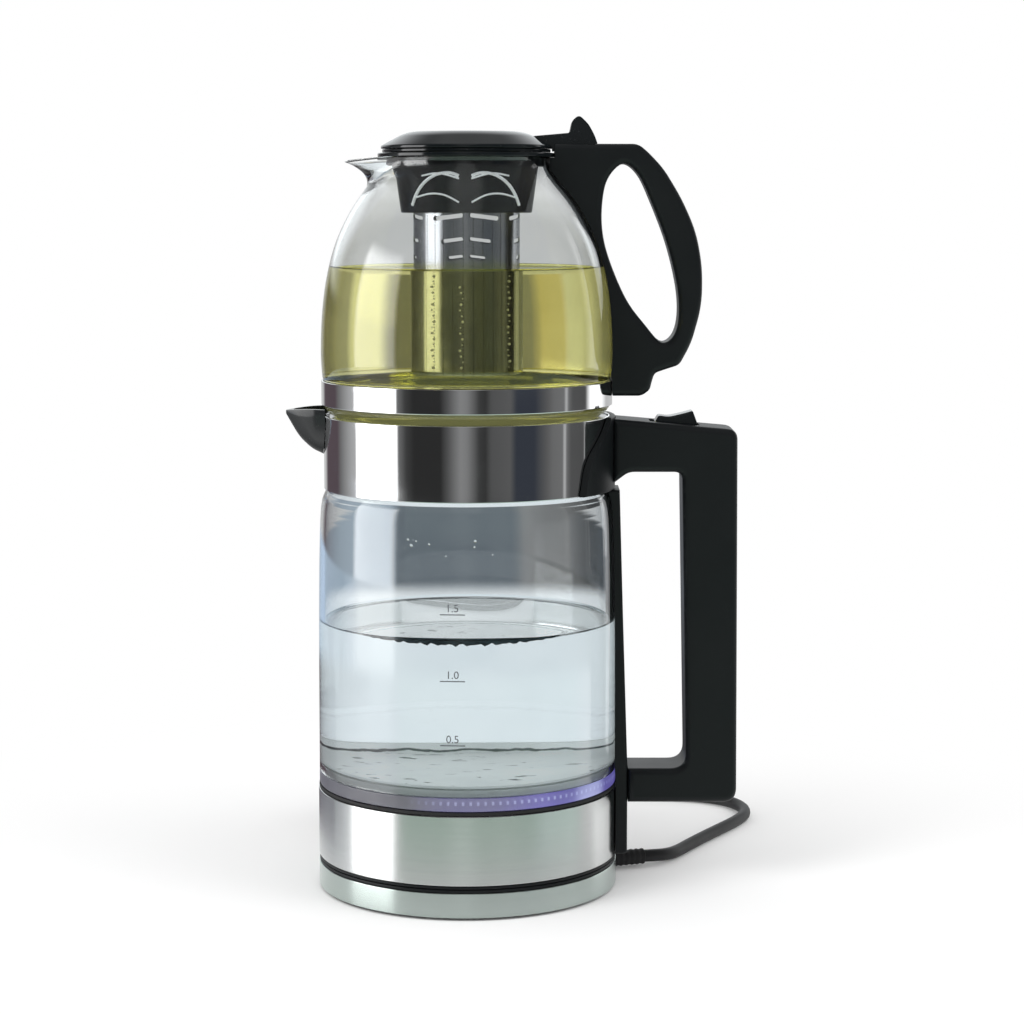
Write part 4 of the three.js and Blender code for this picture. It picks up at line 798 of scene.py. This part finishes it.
def make_relief():
    """The cord's sleeve: a root, a taper with ribs and a soft lip."""
    rings = []
    for i in range(81):
        share = i / 80
        reach = along(66.5, 95, share)
        radius = along(4.4, 4.05, share)
        if reach > 76.5:
            radius -= 0.35 * (0.5 - 0.5 * math.cos((reach - 76.5) / 3 * TAU))
        rings.append((reach, radius))
    rings = [(rings[0][0] - 0.2, 0.1)] + rings + [(rings[-1][0] + 0.2, 3.7)]
    return pipe([on_relief(reach) for reach, _ in rings], 1, 24, lambda i: rings[i][1])


# Kettle
def wall_points():
    """The outside of the kettle's glass."""
    points = [(74.5, 60.2), (74.46, 75), (74.4, 95), (74.3, 119.3), (74.1, 145), (73.75, 167.1),
              (73.1, 187), (72.2, 195), (71.2, 198.3), (70.2, 200.2), (69.2, 201.4)]
    return [(x, z) for x, z in flowing(points, 3)]


def make_kettle_glass():
    outer = wall_points()
    inner = [(x - JAR_WALL, z) for x, z in outer]
    return turned([*outer, (68.9, 202.4), (68.9, 206.6), (68.5, 207), (66.7, 207), (66.3, 206.6),
                   (66.3, 202.4), *reversed(inner[:-3]), (71.9, 60.2)])


# Drops on the inside of the glass: degrees round the axis, height and radius
DROPS = [(-112, 183.6, 0.7), (-110.6, 180.9, 0.9), (-108.7, 183, 0.5), (-103.5, 181.7, 0.6),
         (-86, 183.4, 0.8), (-86.3, 180.6, 0.6), (-97, 176.2, 0.5), (-79.4, 176.8, 0.45)]


def make_water():
    level = WATER_LEVEL
    return turned([(0, 59.8), (67, 59.8), (67, 64.5), (67.5, 64.5), (67.5, 63.6), (72.05, 63.6),
                   (71.95, 100), (71.8, level + 1.3), (71.2, level + 0.7), (70.2, level + 0.25),
                   (68.5, level), (0, level)])


def make_edge_shade_band():
    """A dark band that paints the shade along the water's edge where it climbs the glass in front."""
    half, count, sides = math.radians(41), 60, 12
    sections = []
    for i in range(count + 1):
        share = 2 * i / count - 1
        turn = -math.pi / 2 - math.radians(2) + share * half
        tall = 1.6 * (1 - share * share) + 0.05
        ripple = 0.9 * math.sin(i * 1.9) * math.sin(i * 0.37) * (1 - share * share)
        section = []
        for k in range(sides):
            out, up = 71.2 + 0.3 * math.cos(TAU * k / sides), math.sin(TAU * k / sides)
            height = WATER_LEVEL + 0.4 + tall * up + min(up, 0) * ripple
            section.append(Vector((out * math.cos(turn), out * math.sin(turn), height)))
        sections.append(section)
    return lofted(sections)


def make_mark(text, height):
    """A numeral and its tick, printed on the outside of the glass."""
    curve = bpy.data.curves.new("mark", "FONT")
    curve.body, curve.size, curve.extrude, curve.align_x = text, 5.2, 0.03, "CENTER"
    holder = bpy.data.objects.new("mark", curve)
    mesh = bpy.data.meshes.new_from_object(holder)
    bpy.data.objects.remove(holder)
    mesh = joined(mesh, brick((-6, -1.6, -0.03), (6, -1.1, 0.03)))
    radius, middle = 74.62, math.radians(-94.5)
    for vert in mesh.vertices:
        turn, out = middle + vert.co.x / radius, radius + vert.co.z
        vert.co = (out * math.cos(turn), out * math.sin(turn), height + vert.co.y)
    return mesh


def make_kettle():
    skirt = turned(rounded([
        (74.2, 17.2), (RIM_RADIUS, 17.2, 0.4), (RIM_RADIUS, 51, 0.5), (74.2, 51)]))
    place("skirt", skirt, STEEL, "kettle", "brushed_steel", "kettle_skirt")
    foot = turned(rounded([
        (19.8, 15.5), (74.7, 15.5, 0.5), (74.7, 16.9, 0.3), (73.9, 16.9), (73.9, 26.2), (71.9, 26.2),
        (71.9, 17.7), (19.8, 17.7)]))
    place("kettle_foot", foot, SATIN, "kettle", "black_satin", "kettle_bottom")
    gasket = turned(rounded([(66, 51.3), (74.7, 51.3, 0.5), (74.7, 53.1, 0.5), (66, 53.1)]))
    place("gasket", gasket, RUBBER, "kettle", "soft_rubber", "skirt_gasket")
    led = turned(rounded([
        (66, 53.4), (74.5, 53.4, 0.6), (74.5, 59.9, 0.5), (71.9, 59.9), (71.9, 57.4), (66, 57.4)]))
    place("glow_ring", led, GLOW, "kettle", "violet_diffuser", "led_ring")
    place("jar", make_kettle_glass(), JAR, "kettle", "clear_glass", "kettle_glass")
    seal = turned(rounded([(67.9, 57.8), (71.5, 57.8), (71.5, 63.8, 0.8), (67.9, 63.8, 0.8)]))
    place("wall_seal", seal, SILICONE, "kettle", "clear_silicone", "glass_seal")
    floor = turned(rounded([
        (0, 58.7), (67.6, 58.7, 0.8), (67.6, 64.7, 0.4), (66.4, 64.7, 0.4), (66.4, 59.9, 1.6),
        (0, 59.9)], False))
    place("heated_floor", floor, PLATE, "kettle", "polished_steel", "heater_plate")
    place("water", make_water(), WATER, "kettle", "clear_glass")
    # The band along the water's edge is painted shade
    place("water_edge_painted_shade", make_edge_shade_band(), EDGE_SHADE, "kettle", "clear_glass")
    for i, (turn, height, size) in enumerate(DROPS):
        drop = ball(size, 12, 24)
        drop.transform(Matrix.Diagonal((0.4, 1, 1, 1)))
        drop.transform(Matrix.Translation((71.1, 0, height)))
        drop.transform(Matrix.Rotation(math.radians(turn), 4, "Z"))
        place("drop_" + str(i + 1), drop, WATER, "kettle", "clear_glass")
    for text, height in (("0.5", 87), ("1.0", 118), ("1.5", 150)):
        place("mark_" + text, make_mark(text, height), INK, "kettle", "clear_glass", crease=1)
    collar = turned(rounded([(70.2, 201.2), (71, 201.2, 0.4), (71, 237.6, 0.4), (70.2, 237.6)]))
    window = brick((-83, -13, 223.7), (-59, 13, 235.2))
    place("collar", boolean(collar, window), CHROME, "kettle", "polished_steel", "kettle_collar")
    liner = turned(rounded([
        (67.5, 207.3), (69.9, 207.3), (69.9, 236.9, 0.4), (56, 236.9, 0.6), (56, 234.2, 0.6),
        (67.5, 234.2)]))
    liner = boolean(liner, window)
    for i in range(6):
        vent = brick((52, -4, 231), (60, 4, 243))
        vent.transform(Matrix.Rotation((i + 0.5) * TAU / 6, 4, "Z"))
        liner = boolean(liner, vent)
    place("mouth", liner, GLOSS, "kettle", "black_gloss", "mouth_ring")


def keel(reach, half, low, top, inset=0, raise_top=0, count=24):
    """One section of the spout: a round keel below a straight upper edge."""
    points = []
    for i in range(count + 1):
        angle = math.pi * i / count
        height = along(top + raise_top, low + inset, math.sin(angle) ** 0.85)
        points.append(Vector((-71 - reach, -(half - inset) * math.cos(angle), height)))
    return points


def beak_sizes():
    """The spout's reach, half width, lower and upper edge in even steps from wall to tip."""
    root, body = (-5, 18, 215.5, 241.0), (6, 13, 220.6, 241.0)
    nose, tip = (12.4, 8, 226.6, 240.6), (18.8, 1.6, 237.8, 239.8)
    stations = [Vector(x) for x in (root, body, nose, tip)]
    line = []
    for i in range(25):
        reach = along(-5, 18.8, i / 24)
        for a, b in zip(stations, stations[1:]):
            if a[0] <= reach <= b[0] + 1e-6:
                line.append(a.lerp(b, (reach - a[0]) / (b[0] - a[0])))
                break
    return line


def make_spout():
    sizes = beak_sizes()
    smooth = [sizes[0]]
    for i in range(1, len(sizes) - 1):
        near = sizes[max(i - 2, 0):i + 3]
        smooth.append(sum(near, Vector((0, 0, 0, 0))) / len(near))
    smooth.append(sizes[-1])
    hull = lofted([keel(*size) for size in smooth])
    start = Vector(smooth[0])
    start[0] -= 8
    inner = [start] + [size for size in smooth if size[0] < 15.5]
    channel = lofted([keel(*size, inset=2.2, raise_top=8) for size in inner])
    core = turned([(0, 195), (71.3, 195), (71.3, 250), (0, 250)])
    return boolean(boolean(hull, channel), core)


def make_bracket():
    band = turned(rounded([(71.3, 201.2), (73.7, 201.2, 0.8), (73.7, 237.6, 0.8), (71.3, 237.6)]))
    wings = rounded([(-45.5, 190), (45.5, 190), (45.5, 201.2), (42, 219.1, 9), (18.5, 238), (18.5, 245),
                     (-18.5, 245), (-18.5, 238), (-42, 219.1, 9), (-45.5, 201.2)], bends=6)
    tool = slab([wings], 80, 0.01, 1)
    tool.transform(Matrix.Rotation(math.pi / 2, 4, "Z"))
    tool.transform(Matrix.Translation((60, 0, 0)))
    return boolean(band, tool, "INTERSECT")


def make_kettle_handle():
    outline = rounded([
        (80.5, 43.8), (134.8, 43.8, 7), (133.6, 231, 5), (72, 236.4), (72, 204), (80, 210, 3),
        (106.4, 210, 4), (109.4, 61, 8), (80.5, 61)], bends=8)
    body = slab([outline], 30, 3.2, 5)
    core = turned([(0, 190), (74, 190), (74, 245), (0, 245)])
    body = boolean(body, core)
    body = boolean(body, brick((90.6, -6.6, 213.7), (115.4, 6.6, 245)))
    return boolean(body, pin_hole(ROCKER_AXIS, 8.3))


def make_strip():
    outline = rounded([
        (69, 17.2), (80.2, 17.2, 1.5), (80.2, 61), (77.6, 138.4), (75.7, 200.9), (69, 200.9)])
    body = slab([outline], 26, 1.2, 3)
    outer = [(x + 0.5, z) for x, z in wall_points()]
    core = turned([(0, 10), (75.5, 10), (75.5, 53.4), *outer, (69.4, 210), (0, 210)])
    return boolean(body, core)


def make_rocker():
    outline = rounded([
        (-10.4, 4.1), (-8.6, 0, 1.7), (0, -5, 5), (9.3, 0, 1.7), (11.2, 4.1), (8.9, 10.3, 0.9), (4, 8.9, 2),
        (-3, 7.3, 3), (-8, 8, 0.8)], bends=6)
    body = slab([outline], 12, 0.9, 4)
    x, z = ROCKER_AXIS
    body.transform(Matrix.Translation((x, 0, z)))
    return boolean(body, pin_hole(ROCKER_AXIS, 8))


def dress_kettle():
    place("pouring_spout", make_spout(), GLOSS, "kettle", "black_gloss", "kettle_spout")
    place("bracket", make_bracket(), SATIN, "kettle", "black_satin", "handle_bracket")
    place("box_handle", make_kettle_handle(), SATIN, "kettle", "black_satin", "kettle_handle")
    place("strip", make_strip(), SATIN, "kettle", "black_satin", "handle_strip")
    place("rocker", make_rocker(), GLOSS, "switch", "black_gloss", "rocker_switch")


# Teapot
POT_RADIUS, NECK = 72.2, 41
# The dome: shares of the way out from neck to belly and of the way up
DOME = [(0.98, 0.02), (1, 0.13), (0.979, 0.3), (0.912, 0.466), (0.78, 0.628), (0.583, 0.763),
        (0.357, 0.872), (0.074, 0.975)]


def dome_points(inset):
    """The outside of the dome, let in square to the wall by an inset."""
    points = [(70.9, 252), (70.95, 255.2)]
    points += [(along(NECK, POT_RADIUS, a), along(255.2, 358.7, b)) for a, b in DOME]
    points += [(41, 361.2), (41.6, 363.9)]
    line = flowing(points, 5)
    result = []
    for i, point in enumerate(line):
        ahead = (line[min(i + 1, len(line) - 1)] - line[max(i - 1, 0)]).normalized()
        result.append((point.x - inset * ahead.y, point.y + inset * ahead.x))
    return result


def pull_lip(point):
    """Draws the rim out to a pouring lip on the spout side."""
    rim, height, reach, drop = 363.9, 15.5, 18.4, 2
    turn = abs(math.atan2(point.y, -point.x)) / math.radians(40)
    rise = (point.z - (rim - height)) / height
    if turn >= 1 or rise <= 0 or point.xy.length < 1:
        return point
    weight = math.cos(turn * math.pi / 2) ** 2 * min(rise, 1)
    scale = (point.xy.length + reach * weight * math.sqrt(rise)) / point.xy.length
    return Vector((point.x * scale, point.y * scale, point.z - drop * weight))


def make_pot_glass():
    outer = dome_points(0)
    inner = dome_points(POT_WALL)
    foot = flowing([(57.6, 237.2), (62, 237.2), (65.2, 237.4), (67.4, 238.4), (69.0, 239.8), (70.2, 241.3),
                    (70.9, 243.2), (70.9, 252)], 4)
    profile = [(0, 238.8), (55, 238.8), (56.4, 238.4), *foot[:-1], *outer, (40.9, 364.2),
               (39.9, 364.1), *reversed(inner[2:]), (68.7, 246), (67.6, 243.6), (65, 242.3),
               (60, 242), (0, 242)]
    return turned(profile, 192, pull_lip)


def make_tea():
    level = TEA_LEVEL
    inner = [(x + 0.15, z) for x, z in dome_points(POT_WALL) if z < level - 0.5]
    edge = inner[-1][0]
    return turned([(0, 241.9), (60, 241.9), (65.1, 242.25), (67.7, 243.5), (68.8, 246), *inner[1:],
                   (edge - 0.1, level + 1.1), (edge - 0.7, level + 0.5), (edge - 1.8, level + 0.1),
                   (edge - 3, level), (0, level)])


def make_pot():
    place("teapot", make_pot_glass(), POT, "teapot", "clear_glass", "teapot_glass")
    band = turned(rounded([(71.2, 243), (72.1, 243, 0.4), (72.1, 255, 0.4), (71.2, 255)]))
    tab = brick((71.6, -4, 249.6), (82.8, 4, 251.2))
    band = boolean(joined(band, tab), screw_hole(245, 256))
    place("waist_band", band, CHROME, "teapot", "polished_steel", "teapot_band")
    place("tea", make_tea(), TEA, "teapot", "clear_glass")
    ring = turned(rounded([
        (37.6, 366.2, 0.3), (37.6, 359.2, 0.3), (38.5, 359.2), (38.5, 364.2), (43.6, 364.2, 0.5),
        (43.6, 366.2, 0.6)]))
    lug = brick((42.4, -4, 364.2), (48.8, 4, 366.2))
    place("rim_ring", joined(ring, lug), GLOSS, "teapot", "black_gloss", "neck_ring")


BOW = [
    (39.1, 370.6), (84, 370.6, 6), (89, 366.5, 5), (96.5, 358.6, 10), (105.5, 344, 10), (112.6, 328, 12),
    (115.8, 311, 12), (115.8, 292, 12), (110.6, 273.2, 9), (104.8, 262.6, 4), (99.6, 261, 3),
    (92.6, 258.6, 2), (91.2, 254, 2), (90.4, 250.4, 3), (86.4, 247.4, 2.5), (66, 247.4), (66, 300),
    (39.1, 349.7)]
BOW_HOLE = [
    (76.4, 360.8), (69.1, 353.4), (66.5, 341), (66.9, 326.9), (70.7, 312.7), (78.6, 294.8), (87.7, 282.5),
    (95.6, 274), (101.4, 276.6), (104.2, 286), (103.4, 301), (98.3, 321.9), (90.5, 342.3), (83.9, 355.8)]


def make_bow():
    hole = [(p.x, p.y) for p in flowing(BOW_HOLE, 6, True)]
    body = slab([rounded(BOW, bends=8), hole], 22, 3, 5)
    outer = [(x + 0.5, z) for x, z in dome_points(0)]
    core = turned([(0, 231), (66.2, 231), (72.6, 238.8), (72.6, 255.2),
                   *[p for p in outer if 256 < p[1] < 361], (42.1, 361.5), (42.1, 363.9),
                   (44.6, 363.9), (44.6, 376), (0, 376)])
    body = boolean(body, core)
    for tool in (brick((49, -5.5, 362.6), (73, 5.5, 376)),
                 brick((42, -5.5, 366.5), (61, 5.5, 376)),
                 brick((59.2, -9.8, 365.2), (62.8, 9.8, 376)),
                 brick((37.2, -4.3, 363.9), (50, 4.3, 366.5)),
                 brick((60.8, -4.3, 249.3), (83.4, 4.3, 251.5)),
                 screw_hole(241, 249, 3.1),
                 screw_hole(247, 257)):
        body = boolean(body, tool)
    return body


# Infuser and lid
def make_holder():
    body = turned(rounded([
        (34.4, 367.9, 0.4), (41.4, 367.9, 0.4), (41.4, 366.5, 0.4), (36.4, 366.5, 0.6), (32.2, 337, 0.8),
        (26.5, 337, 0.4), (26.5, 339), (30.2, 339, 1), (32, 352), (34.4, 366)]))
    arch = rounded([(-26, 341.5, 1.5), (26, 341.5, 1.5), (23.5, 350, 8), (15, 354.9, 8), (-15, 354.9, 8),
                    (-23.5, 350, 8)], bends=8)
    tool = slab([arch], 100, 0.01, 1)
    shell = turned([(35.3, 366.5), (42.4, 366.5), (38.2, 337), (31.1, 337)])
    return boolean(body, boolean(tool, shell, "INTERSECT"))


# Pale beads that paint the highlights round the arches: radius, and the course in x and z on the right half
ARCH_HIGHLIGHTS = [
    (0.75, [(3, 354.2), (7, 355.6), (12, 355.3), (17, 353.1), (21.2, 349.4), (24, 345), (25.6, 340.6)]),
    (0.45, [(2.9, 352.9), (12.6, 355.4), (20.6, 354.2)]),
    (0.45, [(3, 341.9), (10, 345.4), (17, 346), (24, 344.2)]),
]


def make_highlight_bead(side, radius, arch):
    """One pale bead that paints a highlight along an arch on the front of the holder."""
    path = []
    for x, z in flowing(arch, 6):
        reach = along(32.2, 36.4, (z - 337) / 29.5) + 0.2
        path.append(Vector((side * x, -math.sqrt(reach * reach - x * x), z)))
    return pipe(path, radius, 12)


def make_glint_dots():
    """Columns of small pale balls on the filter in the tea, which paint glints of light."""
    glint_dots = []
    for turn, count in ((-36, 17), (-4.5, 15), (49, 17)):
        for i in range(count):
            size = 0.5 + 0.2 * math.sin(i * 2.3 + turn)
            angle = math.radians(turn - 90 + 1.5 * math.sin(i * 1.7))
            glint_dot = ball(size, 6, 10)
            glint_dot.transform(Matrix.Translation((FILTER_RADIUS + 0.2, 0, 262.5 + 2.75 * i)))
            glint_dot.transform(Matrix.Rotation(angle, 4, "Z"))
            glint_dots.append(glint_dot)
    return joined(*glint_dots)


def make_filter():
    """A cup with three rows of slots in pairs that lean to each other."""
    body = turned(rounded([
        (0, 258.5), (FILTER_RADIUS, 258.5, 2), (FILTER_RADIUS, 338.5), (27.2, 339.3, 0.4),
        (27.2, 341, 0.4), (25.4, 341), (25.4, 259.3, 1.4), (0, 259.3)], False), 128)
    for level, reach in ((335, 15.7), (323.7, 12), (315.4, 9.4)):
        for i in range(8):
            side = i % 2 * 2 - 1
            half = (reach - 1.3) / 2
            outline = rounded([(-half, -1.1, 1), (half, -1.1, 1), (half, 1.1, 1), (-half, 1.1, 1)])
            slot = slab([outline], 18, 0.01, 1)
            slot.transform(Matrix.Rotation(side * math.radians(7), 4, "Y"))
            slot.transform(Matrix.Translation((side * (1.3 + half), -FILTER_RADIUS, level)))
            slot.transform(Matrix.Rotation(i // 2 * TAU / 4, 4, "Z"))
            body = boolean(body, slot)
    return body


def make_lid():
    """The dome with the tongue that ends in a round knuckle about the pin."""
    dome = turned(rounded([
        (0, 376.6), (27, 376.6, 3), (32, 375.1, 2), (42, 369.7, 1.2), (42, 368.2, 0.4), (40, 368.2),
        (40, 368.95), (30.5, 373.1), (25.5, 374.6), (0, 374.6)], False))
    (x, z), size = LID_AXIS, 3.2
    turns = [math.pi * k / 12 for k in range(13)]
    knuckle = [(x - size * math.cos(turn), z - size * math.sin(turn)) for turn in turns]
    arm = slab([rounded([
        (32, 368.2), (42, 368.2), (42, 367), *knuckle, (64.2, 371.1), (62.8, 375, 2), (59.8, 380.4, 2.1),
        (55.2, 384.75, 2.1), (51.6, 381.8, 2.1), (50.4, 376, 0.8), (32, 374.4)], bends=6)], 10, 0.6, 4)
    core = turned([(0, 362), (40, 362), (40, 368.95), (30.5, 373.1), (25.5, 374.6), (0, 374.6)])
    return joined(dome, boolean(boolean(arm, core), pin_hole(LID_AXIS, 10)))


def make_plug():
    body = turned(rounded([
        (0, 0), (5.6, 0, 1), (5.6, 12, 2), (9, 17, 4), (18.6, 30, 4), (18.6, 50, 1.6), (0, 50)], False), 64)
    for i in range(5):
        low, high = 33 + 2.6 * i, 34.2 + 2.6 * i
        body = boolean(body, turned([(18, low), (20, low), (20, high), (18, high)], 64))
    body.transform(Matrix.Rotation(math.pi / 2, 4, "X"))
    body.transform(Matrix.Translation((-50, 158, 18.6)))
    return body


make_base()
place("relief", make_relief(), RUBBER, "base", "soft_rubber", "cord_relief")
make_kettle()
dress_kettle()
make_pot()
place("bow_handle", make_bow(), SATIN, "teapot", "black_satin", "teapot_handle")
place("holder", make_holder(), GLOSS, "infuser", "black_gloss", "infuser_holder")
# Painted highlights: glowing beads along the edges of the arches
for i, (radius, arch) in enumerate(ARCH_HIGHLIGHTS):
    for side, label in ((-1, "left"), (1, "right")):
        bead = make_highlight_bead(side, radius, arch)
        place("arch_" + label + "_" + str(i + 1), bead, PLATE, "infuser", "polished_steel")
# Painted glints: columns of pale dots on the filter
place("glint_dots", make_glint_dots(), GLINTS, "infuser", "clear_glass")
place("filter", make_filter(), PRESSED, "infuser", "brushed_steel", "infuser_filter")
place("lid_dome", make_lid(), GLOSS, "lid", "black_gloss", "teapot_lid")
plug = place("plug", make_plug(), RUBBER, "base", "soft_rubber", "mains_plug")
